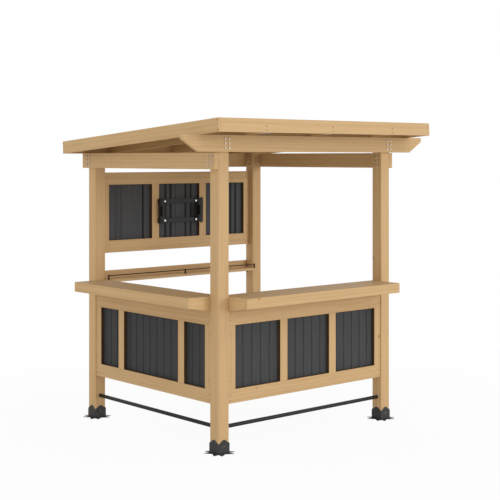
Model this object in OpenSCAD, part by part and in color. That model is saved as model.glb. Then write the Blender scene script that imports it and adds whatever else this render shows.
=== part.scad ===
// Grill gazebo: a lean-to roof on four posts, bar counters on two sides, a display wall at the rear.
// X runs along the front to the right, Y to the rear, Z up. All sizes are in millimetres.

/* [Posts] */
// Side of the square posts
post_w = 94; // [85:1:110]
// Clear width between the two front posts
bay_x = 1562; // [1400:2:1900]
// Clear depth between a front post and the rear post behind it
bay_y = 1432; // [1200:2:1700]
// Chamfer on the long edges of the posts
post_chamfer = 3; // [1:0.5:5]
// How far the front posts stop below the top of the front beam
post_drop = 18; // [15:1:40]

/* [Beams] */
// Thickness of the four beams
beam_t = 36; // [28:1:45]
// Height of the four beams
beam_h = 118; // [110:1:140]
// Clear height between the counters and the front beam
window_h = 1010; // [950:1:1100]
// How much lower the side and rear beams lie than the front beam
roof_fall = 122; // [90:1:140]
// How far the front beam runs past each post
beam_over = 340.5; // [250:0.5:420]
// Upright part of the cut end of the front beam
beam_end_flat = 33; // [20:1:60]
// How far the slanted end of the front beam runs in
beam_end_cut = 140; // [80:1:180]

/* [Bolts] */
// Diameter of the beam bolts
bolt_d = 8; // [6:1:10]
// Distance between the two columns of bolts in a post
bolt_col = 36; // [28:1:40]
// Distance between the rows of bolts in the front and side beams
bolt_row = 32; // [28:1:40]
// Radial clearance of a bolt in its hole
bolt_clear = 0.25; // [0.1:0.05:0.5]
// Diameter of the heads of the wood screws
screw_head_d = 10; // [8:0.5:12]
// Length of the wood screws under the head
screw_len = 30; // [24:1:32]

/* [Roof] */
// How far the roof runs past the front posts, along its slope
roof_over_front = 246; // [180:1:320]
// How far the roof runs past the rear beam, along its slope
roof_over_rear = 26.5; // [25:0.5:120]
// How far the roof runs past the posts on each side
roof_over_side = 199.5; // [120:0.5:260]
// Height of the fascia boards
fascia_h = 96; // [94:1:120]
// Thickness of the fascia boards
fascia_t = 19; // [16:1:25]
// Thickness of the rafters
rafter_t = 36; // [30:1:45]
// Height of the rafters
rafter_h = 60; // [50:1:62]
// Distance between the centres of the rafters, as a share of the roof's width
rafter_share = 0.3; // [0.25:0.01:0.32]
// Depth of the seats cut into the rafters where they lie on the beams
rafter_seat = 3; // [3:0.5:6]
// Width of the purlins
purlin_w = 45; // [30:1:60]
// Thickness of the purlins
purlin_h = 20; // [16:1:22]
// Number of purlins
purlin_n = 5; // [3:1:7]
// Number of roof sheets side by side
sheet_n = 3; // [3:1:3]
// Thickness of the roof sheet metal
sheet_t = 0.8; // [0.6:0.1:1.2]
// Height of the ribs of the roof sheets
rib_h = 12; // [8:0.5:13]
// Number of ribs on each roof sheet
rib_n = 6; // [3:1:8]
// Width of a rib at its foot
rib_foot = 34; // [26:1:40]
// Width of a rib at its top
rib_top = 18; // [10:1:22]
// Gap between neighbouring roof sheets and beside the fascias
sheet_gap = 0.5; // [0.3:0.1:2]

/* [Wall frames] */
// How far the frames lie behind the outer faces of the posts
wall_recess = 9; // [4:1:20]
// Thickness of the frames
wall_t = 38; // [36:1:50]
// Underside of the lower frames above the ground
wall_z = 338; // [300:1:380]
// Gap between the lower frames and the skirts of the counters
wall_gap = 34; // [20:1:60]
// Height of the top and bottom rails of the frames
wall_rail_h = 98; // [70:1:110]
// Width of the uprights next to the posts
stile_w = 68; // [50:1:80]
// Width of the uprights between the panels
mullion_w = 72; // [60:1:80]
// Width of the two narrow openings in the left frame
narrow_w = 238; // [160:1:300]
// Gap between the display wall and the level of the rear beam
display_gap = 38; // [30:1:80]
// How far the panels lie behind the outer faces of the frames
panel_depth = 24; // [20:1:29]
// Depth of the folded profile of the panels
panel_fold = 6; // [4:0.5:6]
// Thickness of the panel sheet metal
panel_sheet = 0.8; // [0.6:0.1:1.2]
// Distance between the narrow grooves of the panels under the counters
groove_pitch = 85; // [60:1:110]
// Width of the narrow grooves
groove_w = 16; // [12:1:30]
// Width of the two wide grooves in each panel of the display wall
wide_groove_w = 61; // [40:1:80]
// Width of the slanted sides of the grooves
groove_side = 4; // [2:0.5:5]
// How far the panels reach into the grooves of the frames
panel_rabbet = 6; // [4:0.5:10]
// Gap between a panel and the groove that holds it
panel_gap = 0.5; // [0.3:0.1:1]
// Thickness of the dark channels that line the openings
channel_t = 1.5; // [1:0.25:2.5]
// Gap between the channels and the frames
channel_gap = 0.2; // [0.1:0.1:0.6]
// Distance of the frame screws from the ends of the frames
frame_screw_x = 20; // [12:1:30]
// Distance of the stile screws from the rails
frame_screw_z = 60; // [30:1:90]

/* [Counters] */
// Top of the counters above the ground
counter_z = 1090; // [1075:1:1130]
// Depth of the counters
counter_depth = 287; // [240:1:340]
// Number of boards in a counter
board_n = 4; // [3:1:6]
// Thickness of the counter boards
board_t = 18; // [14:1:24]
// Gap between neighbouring counter boards
board_gap = 2; // [1:0.5:4]
// Height of the skirts under the counter boards
skirt_h = 56; // [40:1:60]
// Thickness of the skirts
skirt_t = 25; // [20:1:40]
// Number of battens under the overhang of a counter
batten_n = 3; // [2:1:5]
// Gap between a counter's end and the post beside it
counter_fit = 0.5; // [0.2:0.1:2]
// Gap at the butt joints of the skirts and battens
butt_gap = 0.3; // [0.2:0.1:0.8]

/* [Rear shelf] */
// Thickness of the shelf board
shelf_t = 22; // [16:1:28]
// How far the shelf board stands in front of the rear posts
shelf_in = 40; // [20:1:80]
// Height of the board that stands at the back of the shelf
shelf_back_h = 61; // [40:1:90]
// Thickness of the board that stands at the back of the shelf
shelf_back_t = 19; // [14:1:25]
// Diameter of the guard rod along the front of the shelf
rod_d = 8; // [6:0.5:12]
// Height of the guard rod's centre above the shelf
rod_h = 31; // [25:1:60]
// Distance from the posts to the ends of the guard rod
rod_end = 4; // [2:1:60]
// Thickness of the stands that carry the guard rod
stand_t = 4; // [3:0.5:6]
// Length of each leg of the angle brackets under the shelf
angle_leg = 24; // [20:1:60]

/* [Foot rails] */
// Outer diameter of the foot rails
foot_rail_d = 28; // [20:1:34]
// Wall of the foot rail tube
foot_rail_wall = 2; // [1.5:0.5:3]
// Centre of the foot rails above the ground
foot_rail_z = 175; // [150:1:240]
// How deep the foot rails sit in the posts
foot_rail_in = 20; // [10:1:30]

/* [Post feet] */
// Thickness of the sheet steel of the feet
foot_t = 3; // [2:0.5:5]
// Gap between a post and its foot
foot_fit = 0.5; // [0.3:0.1:1]
// Height of the pointed middle of each foot wall
foot_peak = 97; // [80:1:120]
// Height of the foot walls at the corners
foot_corner = 68; // [50:1:78]
// Width of the flat tip of each foot wall
foot_tip = 15; // [8:1:30]
// How far the ground flanges reach out
flange_reach = 46; // [36:1:70]
// How far the notch in each ground flange runs in
flange_notch = 34; // [10:1:34]
// Diameter of the anchor holes in the ground flanges
anchor_d = 8; // [6:0.5:9]
// Distance of the anchor holes from the foot wall
anchor_out = 14; // [12:1:16]
// Distance of the anchor holes from the ends of the foot wall
anchor_in = 16; // [12:1:18]

/* [Display bracket] */
// Centre of the bracket above the ground
bracket_z = 1616; // [1580:1:1650]
// Overall width of the bracket
bracket_w = 456; // [454:1:500]
// Overall height of the bracket
bracket_h = 204; // [204:1:240]
// How far the side plates stand out from the wall frame
side_plate_out = 32; // [20:1:50]
// Thickness of the bracket's sheet steel
bracket_t = 3; // [2:0.5:3]
// Gap between the bracket rails and the wall frame
rail_gap = 8; // [7.5:0.5:10]
// Width of the side plates' feet on the wall frame
side_leg = 14; // [13:1:14]
// Distance from the bracket's centre to the middle of each rail
rail_off = 80; // [75:1:84]
// Height of the bracket rails
bracket_rail_h = 36; // [28:1:40]
// Running gap between a carriage and the rails
slide_gap = 0.5; // [0.3:0.1:0.8]
// Distance between the two display arms at rest
arm_pitch = 400; // [380:1:404]
// Width of a display arm
arm_w = 20; // [16:1:22]
// Height of a display arm
arm_h = 220; // [212:1:230]
// Distance from the pivot to the front face of a display arm
arm_front = 12; // [10:1:14]
// Distance from the pivot to the front of the carriage plate
pivot_out = 18.5; // [17:0.5:22]
// Diameter of the tilt pivot bolts
pivot_d = 8; // [6:0.5:9]
// Diameter of the tilt lock bolts
lock_d = 6; // [5:0.5:7]
// Distance from the tilt pivot down to the lock bolt
lock_r = 32; // [26:1:36]
// Radial clearance of the pivot bolts in their bores
pivot_clear = 0.05; // [0.03:0.01:0.1]
// Diameter of the display screw holes in the arms
display_hole_d = 6.6; // [4.5:0.1:8.5]
// Distance between the outer display screw holes of an arm
display_hole_v = 200; // [180:1:200]

/* [Hidden] */
$fn = 48;

// Overall places worked out from the sizes above
frame_x = bay_x + 2 * post_w;
frame_y = bay_y + 2 * post_w;
front_beam_z = counter_z + window_h;
side_beam_z = front_beam_z - roof_fall;
front_beam_top = front_beam_z + beam_h;
side_beam_top = side_beam_z + beam_h;
slope = atan((front_beam_top - side_beam_top) / (frame_y + beam_t));
roof_len = (frame_y + beam_t) / cos(slope) + roof_over_front + roof_over_rear;
roof_z = front_beam_top - rafter_seat;
roof_front_y = -roof_over_front * cos(slope);
roof_rear_y = (roof_len - roof_over_front) * cos(slope) + fascia_h * sin(slope);
centre = [frame_x / 2, (roof_front_y + roof_rear_y) / 2, 0];
roof_x = frame_x + 2 * roof_over_side;
roof_rear = roof_len - roof_over_front;
roof_in_x = roof_x - 2 * fascia_t;
rafter_pitch = roof_x * rafter_share;
purlin_span = roof_len - 2 * fascia_t - purlin_w;
sheet_w = (roof_in_x - (sheet_n + 1) * sheet_gap) / sheet_n;
rib_gap = sheet_w / rib_n;
sheet_z = rafter_h + purlin_h;
wall_h = counter_z - board_t - skirt_h - wall_gap - wall_z;
display_wall_z = side_beam_z - display_gap - wall_h;
post_top_front = front_beam_top - post_drop;
wall_inner_y = frame_y - wall_recess - wall_t;
bearer_inset = counter_fit + skirt_t + butt_gap;
eps = 0.5;

// Thread and head sizes of the fasteners
washer_r = bolt_d * 1.06;
washer_h = 1.6;
bolt_head_h = bolt_d * 0.66;
bolt_head_r = bolt_d * 0.94;
nut_h = bolt_d * 0.8;
bolt_tail = 3.5;
nut_clear = 0.1;
screw_r = 2.2;
screw_head_h = 2.4;
small_screw_head_r = 4;
small_screw_len = 20;

// Colours
wood = [0.80, 0.64, 0.42];
wood_shade = [0.74, 0.58, 0.37];
dark_metal = [0.20, 0.20, 0.21];
roof_metal = [0.26, 0.26, 0.27];
zinc = [0.80, 0.80, 0.78];

// Puts everything below the origin at the middle of the overall footprint
module placed() {
  translate(-centre) children();
}

// Tilts roof parts: y runs down the slope, z is square to it
module on_slope() {
  translate([0, 0, roof_z]) rotate([-slope, 0, 0]) children();
}

// The three wall frames share one layout: x along the bay, y from the face with the deep openings to
// the other one. The two lower frames face outwards, the display wall faces inwards.
module at_front_wall() {
  translate([post_w, wall_recess, wall_z]) children();
}
module at_left_wall() {
  translate([wall_recess, post_w, wall_z]) mirror([1, -1, 0]) children();
}
module at_display_wall() {
  translate([post_w, wall_inner_y, display_wall_z]) children();
}

// Counters share one layout: x along the bay, y outwards from the inner edge
module at_front_counter() {
  translate([post_w, post_w, 0]) mirror([0, 1, 0]) children();
}
module at_left_counter() {
  translate([post_w, post_w, 0]) rotate([0, 0, 90]) children();
}

// Centres of the posts, in the order front left, front right, rear left, rear right
post_at = [
  [post_w / 2, post_w / 2],
  [frame_x - post_w / 2, post_w / 2],
  [post_w / 2, frame_y - post_w / 2],
  [frame_x - post_w / 2, frame_y - post_w / 2]
];

// Heights of the bolt rows in each kind of beam, measured from the beam's middle
three_rows = [-bolt_row, 0, bolt_row];
two_rows = [-bolt_row / 2, bolt_row / 2];
columns = [-bolt_col / 2, bolt_col / 2];

// Places children at each bolt, with z pointing from the beam's outer face into the post
module at_front_bolts() {
  for (post = [0, 1], c = columns, r = three_rows)
    translate([post_at[post][0] + c, -beam_t, front_beam_z + beam_h / 2 + r])
      rotate([-90, 0, 0]) children();
}
module at_rear_bolts() {
  for (post = [2, 3], c = columns, r = two_rows)
    translate([post_at[post][0] + c, frame_y + beam_t, side_beam_z + beam_h / 2 + r])
      rotate([90, 0, 0]) children();
}
module at_left_bolts() {
  for (post = [0, 2], c = columns, r = three_rows)
    translate([-beam_t, post_at[post][1] + c, side_beam_z + beam_h / 2 + r])
      rotate([0, 90, 0]) children();
}
module at_right_bolts() {
  for (post = [1, 3], c = columns, r = three_rows)
    translate([frame_x + beam_t, post_at[post][1] + c, side_beam_z + beam_h / 2 + r])
      rotate([0, -90, 0]) children();
}
module at_all_bolts() {
  at_front_bolts() children();
  at_rear_bolts() children();
  at_left_bolts() children();
  at_right_bolts() children();
}
stack_t = beam_t + post_w;

// Hole for a beam bolt, longer than the stack of beam and post
module bolt_hole() {
  translate([0, 0, -eps]) cylinder(r = bolt_d / 2 + bolt_clear, h = stack_t + 2 * eps);
}

module bolt_solid() {
  translate([0, 0, -washer_h]) cylinder(r = washer_r, h = washer_h);
  translate([0, 0, -washer_h - bolt_head_h]) cylinder(r = bolt_head_r, h = bolt_head_h + eps, $fn = 6);
  translate([0, 0, -eps]) cylinder(d = bolt_d, h = stack_t + washer_h + nut_h + bolt_tail + eps);
}

module nut_solid() {
  translate([0, 0, stack_t]) difference() {
    union() {
      cylinder(r = washer_r, h = washer_h);
      translate([0, 0, washer_h - eps]) cylinder(r = bolt_head_r, h = nut_h + eps, $fn = 6);
    }
    translate([0, 0, -eps]) cylinder(r = bolt_d / 2 + nut_clear, h = washer_h + nut_h + 2 * eps);
  }
}

// Wood screw with a flat round head, z pointing into the wood
module wood_screw(head_r, head_h, len) {
  translate([0, 0, -head_h]) cylinder(r = head_r, h = head_h);
  translate([0, 0, -eps]) cylinder(r = screw_r, h = len + eps);
}
module screw_hole(len) {
  translate([0, 0, -eps]) cylinder(r = screw_r + bolt_clear, h = len + 2 * eps);
}

// Posts
module post(index, top) {
  c = post_chamfer;
  w = post_w;
  corners = [[c, 0], [w - c, 0], [w, c], [w, w - c], [w - c, w], [c, w], [0, w - c], [0, c]];
  color(wood) placed() difference() {
    translate([post_at[index][0] - w / 2, post_at[index][1] - w / 2, foot_t])
      linear_extrude(top - foot_t) polygon(corners);
    at_all_bolts() bolt_hole();
    foot_rail_sockets();
    at_foot_screws() screw_hole(screw_len);
  }
}
module post_front_left() {
  post(0, post_top_front);
}
module post_front_right() {
  post(1, post_top_front);
}
module post_rear_left() {
  post(2, side_beam_top);
}
module post_rear_right() {
  post(3, side_beam_top);
}

// Feet: a base plate, four pointed walls round the post and four notched ground flanges
foot_w = post_w + 2 * foot_fit + 2 * foot_t;

module foot_wall() {
  rotate([90, 0, 0]) linear_extrude(foot_t) polygon([
    [-foot_w / 2, 0], [foot_w / 2, 0], [foot_w / 2, foot_corner],
    [foot_tip / 2, foot_peak], [-foot_tip / 2, foot_peak], [-foot_w / 2, foot_corner]
  ]);
}
module foot_flange() {
  difference() {
    linear_extrude(foot_t) polygon([
      [-foot_w / 2, eps], [-foot_w / 2, 0], [-foot_w / 2 - foot_t, -flange_reach],
      [0, flange_notch - flange_reach], [foot_w / 2 + foot_t, -flange_reach],
      [foot_w / 2, 0], [foot_w / 2, eps]
    ]);
    for (side = [-1, 1])
      translate([side * (foot_w / 2 - anchor_in), -anchor_out, -eps])
        cylinder(d = anchor_d, h = foot_t + 2 * eps);
  }
}
module foot() {
  translate([-foot_w / 2, -foot_w / 2, 0]) cube([foot_w, foot_w, foot_t]);
  for (turn = [0, 90, 180, 270]) rotate([0, 0, turn]) {
    translate([0, -foot_w / 2 + foot_t, 0]) foot_wall();
    translate([0, -foot_w / 2, 0]) foot_flange();
  }
}
// Two screws hold each post, one through each of two opposite foot walls
module at_foot_screws() {
  for (p = post_at, side = [0, 180])
    translate([p[0], p[1], foot_corner - anchor_in]) rotate([0, 0, side])
      translate([0, -foot_w / 2, 0]) rotate([-90, 0, 0]) children();
}
module post_feet() {
  color(dark_metal) placed() {
    difference() {
      for (p = post_at) translate([p[0], p[1], 0]) foot();
      at_foot_screws() screw_hole(foot_t);
    }
  }
}

// Beams
module front_beam() {
  l = frame_x + 2 * beam_over;
  color(wood) placed() difference() {
    translate([-beam_over, 0, front_beam_z]) rotate([90, 0, 0]) linear_extrude(beam_t) polygon([
      [0, beam_h], [0, beam_h - beam_end_flat], [beam_end_cut, 0],
      [l - beam_end_cut, 0], [l, beam_h - beam_end_flat], [l, beam_h]
    ]);
    at_front_bolts() bolt_hole();
  }
}
module rear_beam() {
  color(wood) placed() difference() {
    translate([-beam_t, frame_y, side_beam_z]) cube([frame_x + 2 * beam_t, beam_t, beam_h]);
    at_rear_bolts() bolt_hole();
  }
}
module left_beam() {
  color(wood) placed() difference() {
    translate([-beam_t, 0, side_beam_z]) cube([beam_t, frame_y, beam_h]);
    at_left_bolts() bolt_hole();
  }
}
module right_beam() {
  color(wood) placed() difference() {
    translate([frame_x, 0, side_beam_z]) cube([beam_t, frame_y, beam_h]);
    at_right_bolts() bolt_hole();
  }
}
module beam_bolts() {
  color(zinc) placed() at_all_bolts() bolt_solid();
}
module beam_nuts() {
  color(zinc) placed() at_all_bolts() nut_solid();
}

// Fascia boards: the side boards cover the ends of the front and rear boards
fascia_in_x = [-roof_over_side + fascia_t, frame_x + roof_over_side - fascia_t];

module cross_fascia(y) {
  color(wood) placed() difference() {
    on_slope() translate([fascia_in_x[0], y, 0]) cube([roof_in_x, fascia_t, fascia_h]);
    at_fascia_screws() screw_hole(screw_len + fascia_t);
  }
}
module side_fascia(x) {
  color(wood) placed() difference() {
    on_slope() translate([x, -roof_over_front, 0]) cube([fascia_t, roof_len, fascia_h]);
    translate([x - fascia_t, -beam_t, front_beam_z]) cube([3 * fascia_t, beam_t, beam_h]);
    at_fascia_screws() screw_hole(screw_len + fascia_t);
  }
}
module front_fascia() {
  cross_fascia(-roof_over_front);
}
module rear_fascia() {
  cross_fascia(roof_rear - fascia_t);
}
module left_fascia() {
  side_fascia(-roof_over_side);
}
module right_fascia() {
  side_fascia(frame_x + roof_over_side - fascia_t);
}

// Two screws at each joint between fascia boards and at the end of each rafter
rafter_at = [for (i = [-1, 0, 1]) frame_x / 2 + i * rafter_pitch];
rafter_screws = [rafter_h / 4, rafter_h * 3 / 4];
corner_screws = [rafter_h / 4, fascia_h - rafter_h / 4];

module at_fascia_screws() {
  on_slope() {
    for (h = rafter_screws, x = rafter_at) {
      translate([x, -roof_over_front, h]) rotate([-90, 0, 0]) children();
      translate([x, roof_rear, h]) rotate([90, 0, 0]) children();
    }
    for (h = corner_screws, y = [-roof_over_front + fascia_t / 2, roof_rear - fascia_t / 2]) {
      translate([-roof_over_side, y, h]) rotate([0, 90, 0]) children();
      translate([frame_x + roof_over_side, y, h]) rotate([0, -90, 0]) children();
    }
  }
}
module fascia_screws() {
  color(dark_metal) placed() at_fascia_screws()
    wood_screw(small_screw_head_r, screw_head_h, screw_len + fascia_t);
}

// Rafters lie between the front and rear fascia and sit in seats on the beams
module rafter(x) {
  color(wood_shade) placed() difference() {
    on_slope() translate([x - rafter_t / 2, fascia_t - roof_over_front, 0])
      cube([rafter_t, roof_len - 2 * fascia_t, rafter_h]);
    translate([x - rafter_t, -beam_t, front_beam_z]) cube([2 * rafter_t, beam_t, beam_h]);
    translate([x - rafter_t, frame_y, side_beam_z]) cube([2 * rafter_t, beam_t, beam_h]);
    at_fascia_screws() screw_hole(screw_len + fascia_t);
    at_roof_screws() screw_hole(screw_len);
  }
}
module left_rafter() {
  rafter(rafter_at[0]);
}
module middle_rafter() {
  rafter(rafter_at[1]);
}
module right_rafter() {
  rafter(rafter_at[2]);
}

// Purlins lie across the rafters between the side fascias
purlin_at = [for (i = [0:purlin_n - 1]) fascia_t - roof_over_front + i * purlin_span / (purlin_n - 1)];

module purlins() {
  color(wood_shade) placed() difference() {
    on_slope() for (y = purlin_at)
      translate([fascia_in_x[0], y, rafter_h]) cube([roof_in_x, purlin_w, purlin_h]);
    at_roof_screws() screw_hole(screw_len);
  }
}

// Roof sheets: one folded profile drawn over and back, pushed down the slope
function rib_points(z, grow) = [
  for (i = [0:rib_n - 1], p = [
    [-rib_foot / 2 - grow, 0], [-rib_top / 2 - grow, rib_h],
    [rib_top / 2 + grow, rib_h], [rib_foot / 2 + grow, 0]
  ]) [(i + 0.5) * rib_gap + p[0], p[1] + z]
];
function reversed(list) = [for (i = [len(list) - 1:-1:0]) list[i]];

// Half the sheet's width of metal added to the top line keeps the slanted parts as thick as the flats
fold_grow = sheet_t / 2;

module roof_sheet(index) {
  under = concat([[0, 0]], rib_points(0, 0), [[sheet_w, 0]]);
  over = concat([[0, sheet_t]], rib_points(sheet_t, fold_grow), [[sheet_w, sheet_t]]);
  x = fascia_in_x[0] + sheet_gap + index * (sheet_w + sheet_gap);
  l = roof_len - 2 * fascia_t - 2 * sheet_gap;
  color(roof_metal) placed() difference() {
    on_slope() translate([x, fascia_t - roof_over_front + sheet_gap + l, sheet_z])
      rotate([90, 0, 0]) linear_extrude(l) polygon(concat(under, reversed(over)));
    at_roof_screws() screw_hole(screw_len);
  }
}
module left_roof_sheet() {
  roof_sheet(0);
}
module middle_roof_sheet() {
  roof_sheet(1);
}
module right_roof_sheet() {
  roof_sheet(2);
}

// One screw beside every second rib on each purlin
module at_roof_screws() {
  on_slope() for (s = [0:sheet_n - 1], i = [0:2:rib_n - 1], y = purlin_at) {
    x = fascia_in_x[0] + sheet_gap + s * (sheet_w + sheet_gap) + (i + 0.5) * rib_gap;
    translate([x + rib_foot / 2 + screw_head_d, y + purlin_w / 2, sheet_z + sheet_t])
      rotate([180, 0, 0]) children();
  }
}
module roof_screws() {
  color(dark_metal) placed() at_roof_screws()
    wood_screw(screw_head_d / 2, screw_head_h, small_screw_len);
}

// Wall frames: two rails over the whole bay, two stiles and two mullions between them
wall_open_h = wall_h - 2 * wall_rail_h;
front_open = (bay_x - 2 * stile_w - 2 * mullion_w) / 3;
left_open = bay_y - 2 * stile_w - 2 * mullion_w - 2 * narrow_w;
even_openings = [front_open, front_open, front_open];
left_openings = [narrow_w, left_open, narrow_w];

// Left edge of opening i along the bay
function opening_at(widths, i) = i == 0 ? stile_w : opening_at(widths, i - 1) + widths[i - 1] + mullion_w;

// Groove round each opening that holds a panel
module panel_pocket(widths) {
  for (i = [0:2])
    translate([opening_at(widths, i) - panel_rabbet, panel_depth - panel_gap, wall_rail_h - panel_rabbet])
      cube([widths[i] + 2 * panel_rabbet, panel_fold + 2 * panel_gap, wall_open_h + 2 * panel_rabbet]);
}
module wall_rails(l, widths) {
  color(wood) difference() {
    for (z = [0, wall_h - wall_rail_h]) translate([0, 0, z]) cube([l, wall_t, wall_rail_h]);
    panel_pocket(widths);
    at_wall_screws(l) screw_hole(small_screw_len);
  }
}
module wall_uprights(l, widths) {
  color(wood) difference() {
    translate([0, 0, wall_rail_h]) {
      cube([stile_w, wall_t, wall_open_h]);
      for (i = [1, 2]) translate([opening_at(widths, i) - mullion_w, 0, 0])
        cube([mullion_w, wall_t, wall_open_h]);
      translate([l - stile_w, 0, 0]) cube([stile_w, wall_t, wall_open_h]);
    }
    panel_pocket(widths);
    at_wall_screws(l) screw_hole(small_screw_len);
  }
}

// A panel is one folded sheet with upright grooves. The narrow grooves run on evenly from the edge of
// the first opening, as if the three panels were cut from one sheet; the wide ones lie in pairs.
panel_reach = panel_rabbet - panel_gap;
groove_margin = groove_w / 2 + panel_rabbet;
function panel_start(widths, i) = opening_at(widths, i) - panel_reach;
function panel_width(widths, i) = widths[i] + 2 * panel_reach;
function narrow_grooves(widths, i) = [
  for (x = [stile_w:groove_pitch:panel_start(widths, i) + panel_width(widths, i) - groove_margin])
    if (x > panel_start(widths, i) + groove_margin) x - panel_start(widths, i)
];
function wide_grooves(widths, i) = [
  for (side = [-1, 1]) panel_width(widths, i) / 2 + side * widths[i] / 4
];
function groove_points(centres, width, y, grow) = [
  for (c = centres, p = [
    [-width / 2 + grow, 0], [groove_side - width / 2 + grow, panel_fold - panel_sheet],
    [width / 2 - groove_side - grow, panel_fold - panel_sheet], [width / 2 - grow, 0]
  ]) [c + p[0], p[1] + y]
];
panel_grow = panel_sheet / 2;

module panel(w, centres, width) {
  face = concat([[0, 0]], groove_points(centres, width, 0, 0), [[w, 0]]);
  back = concat([[0, panel_sheet]], groove_points(centres, width, panel_sheet, panel_grow), [[w, panel_sheet]]);
  linear_extrude(wall_open_h + 2 * panel_reach) polygon(concat(face, reversed(back)));
}
module at_panel(widths, i) {
  color(roof_metal) translate([panel_start(widths, i), panel_depth, wall_rail_h - panel_reach]) children();
}
module wall_panels(widths) {
  for (i = [0:2]) at_panel(widths, i) panel(panel_width(widths, i), narrow_grooves(widths, i), groove_w);
}

// Dark channels line each opening in front of its panel: two uprights, and two strips between them
module opening_channels(w) {
  h = wall_open_h - 2 * channel_gap;
  translate([channel_gap, 0, channel_gap]) {
    for (x = [0, w - channel_t]) translate([x, 0, 0]) cube([channel_t, panel_depth, h]);
    for (z = [0, h - channel_t]) translate([channel_t, 0, z])
      cube([w - 2 * channel_t, panel_depth, channel_t]);
  }
}
module wall_channels(widths) {
  color(dark_metal) for (i = [0:2])
    translate([opening_at(widths, i), 0, wall_rail_h]) opening_channels(widths[i] - 2 * channel_gap);
}

// Two screws at each end of each rail and two in each stile, driven from the face
frame_screws = [wall_rail_h * 0.22, wall_rail_h * 0.62, wall_rail_h + frame_screw_z];

module at_wall_screws(l) {
  for (x = [frame_screw_x, l - frame_screw_x], h = frame_screws, z = [h, wall_h - h])
    translate([x, 0, z]) rotate([-90, 0, 0]) children();
}
module wall_screws() {
  color(dark_metal) placed() {
    at_front_wall() at_wall_screws(bay_x) wood_screw(small_screw_head_r, 1, small_screw_len);
    at_left_wall() at_wall_screws(bay_y) wood_screw(small_screw_head_r, 1, small_screw_len);
    at_display_wall() at_wall_screws(bay_x) wood_screw(small_screw_head_r, 1, small_screw_len);
    at_foot_screws() wood_screw(small_screw_head_r, 1, screw_len);
  }
}
module front_wall_rails() {
  placed() at_front_wall() wall_rails(bay_x, even_openings);
}
module front_wall_uprights() {
  placed() at_front_wall() wall_uprights(bay_x, even_openings);
}
module front_wall_panels() {
  placed() at_front_wall() wall_panels(even_openings);
}
module front_wall_channels() {
  placed() at_front_wall() wall_channels(even_openings);
}
module left_wall_rails() {
  placed() at_left_wall() wall_rails(bay_y, left_openings);
}
module left_wall_uprights() {
  placed() at_left_wall() wall_uprights(bay_y, left_openings);
}
module left_wall_panels() {
  placed() at_left_wall() wall_panels(left_openings);
}
module left_wall_channels() {
  placed() at_left_wall() wall_channels(left_openings);
}
module display_wall_rails() {
  placed() at_display_wall() wall_rails(bay_x, even_openings);
}
module display_wall_uprights() {
  placed() at_display_wall() wall_uprights(bay_x, even_openings);
}
module display_wall_panels() {
  placed() at_display_wall() for (i = [0:2]) at_panel(even_openings, i)
    panel(panel_width(even_openings, i), wide_grooves(even_openings, i), wide_groove_w);
}
module display_wall_channels() {
  placed() at_display_wall() wall_channels(even_openings);
}

// Counters: boards over a frame of skirts, carried by a bearer on top of the wall frame
board_w = (counter_depth - (board_n - 1) * board_gap) / board_n;
skirt_z = counter_z - board_t - skirt_h;
// The bearer lies on the wall frame; its inner side is measured outwards from the inner edge
bearer_y = post_w - wall_recess - wall_t;

module counter_boards(bay) {
  color(wood) for (i = [0:board_n - 1])
    translate([counter_fit, i * (board_w + board_gap), counter_z - board_t])
      cube([bay - 2 * counter_fit, board_w, board_t]);
}
// An end board stands on the wall frame and tapers outwards to the height of the outer skirt
module counter_end() {
  rotate([90, 0, 90]) linear_extrude(skirt_t) polygon([
    [skirt_t + butt_gap, 0], [bearer_y, 0], [bearer_y, -wall_gap], [bearer_y + wall_t, -wall_gap],
    [counter_depth - skirt_t - butt_gap, 0], [counter_depth - skirt_t - butt_gap, skirt_h],
    [skirt_t + butt_gap, skirt_h]
  ]);
}
// The outer skirt covers the ends of the end boards; battens tie the boards under the overhang
module counter_frame(bay) {
  l = bay - 2 * counter_fit;
  batten_y = bearer_y + wall_t + butt_gap;
  color(wood) translate([counter_fit, 0, skirt_z]) {
    translate([0, counter_depth - skirt_t, 0]) cube([l, skirt_t, skirt_h]);
    cube([l, skirt_t, skirt_h]);
    for (x = [0, l - skirt_t]) translate([x, 0, 0]) counter_end();
    for (i = [1:batten_n]) translate([i * l / (batten_n + 1) - skirt_t / 2, batten_y, 0])
      cube([skirt_t, counter_depth - skirt_t - butt_gap - batten_y, skirt_h]);
  }
}
module counter_bearer(bay) {
  z = wall_z + wall_h;
  translate([bearer_inset, bearer_y, z])
    cube([bay - 2 * bearer_inset, wall_t, counter_z - board_t - z]);
}
module front_counter_boards() {
  placed() at_front_counter() counter_boards(bay_x);
}
module front_counter_frame() {
  placed() at_front_counter() counter_frame(bay_x);
}
module left_counter_boards() {
  placed() at_left_counter() counter_boards(bay_y);
}
module left_counter_frame() {
  placed() at_left_counter() counter_frame(bay_y);
}
module counter_bearers() {
  color(wood_shade) placed() {
    at_front_counter() counter_bearer(bay_x);
    at_left_counter() counter_bearer(bay_y);
  }
}

// Rear shelf between the rear posts, level with the counters
shelf_front_y = frame_y - post_w - shelf_in;
rod_y = shelf_front_y + rod_d;
rod_x0 = post_w + rod_end;
rod_l = bay_x - 2 * rod_end;

module rear_shelf() {
  color(wood) placed() translate([post_w, shelf_front_y, counter_z - shelf_t])
    cube([bay_x, post_w + shelf_in, shelf_t]);
}
module rear_shelf_back() {
  color(wood) placed() translate([post_w, frame_y - shelf_back_t, counter_z])
    cube([bay_x, shelf_back_t, shelf_back_h]);
}
module guard_rod() {
  color(dark_metal) placed() translate([rod_x0, rod_y, counter_z + rod_h])
    rotate([0, 90, 0]) cylinder(d = rod_d, h = rod_l);
}
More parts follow.
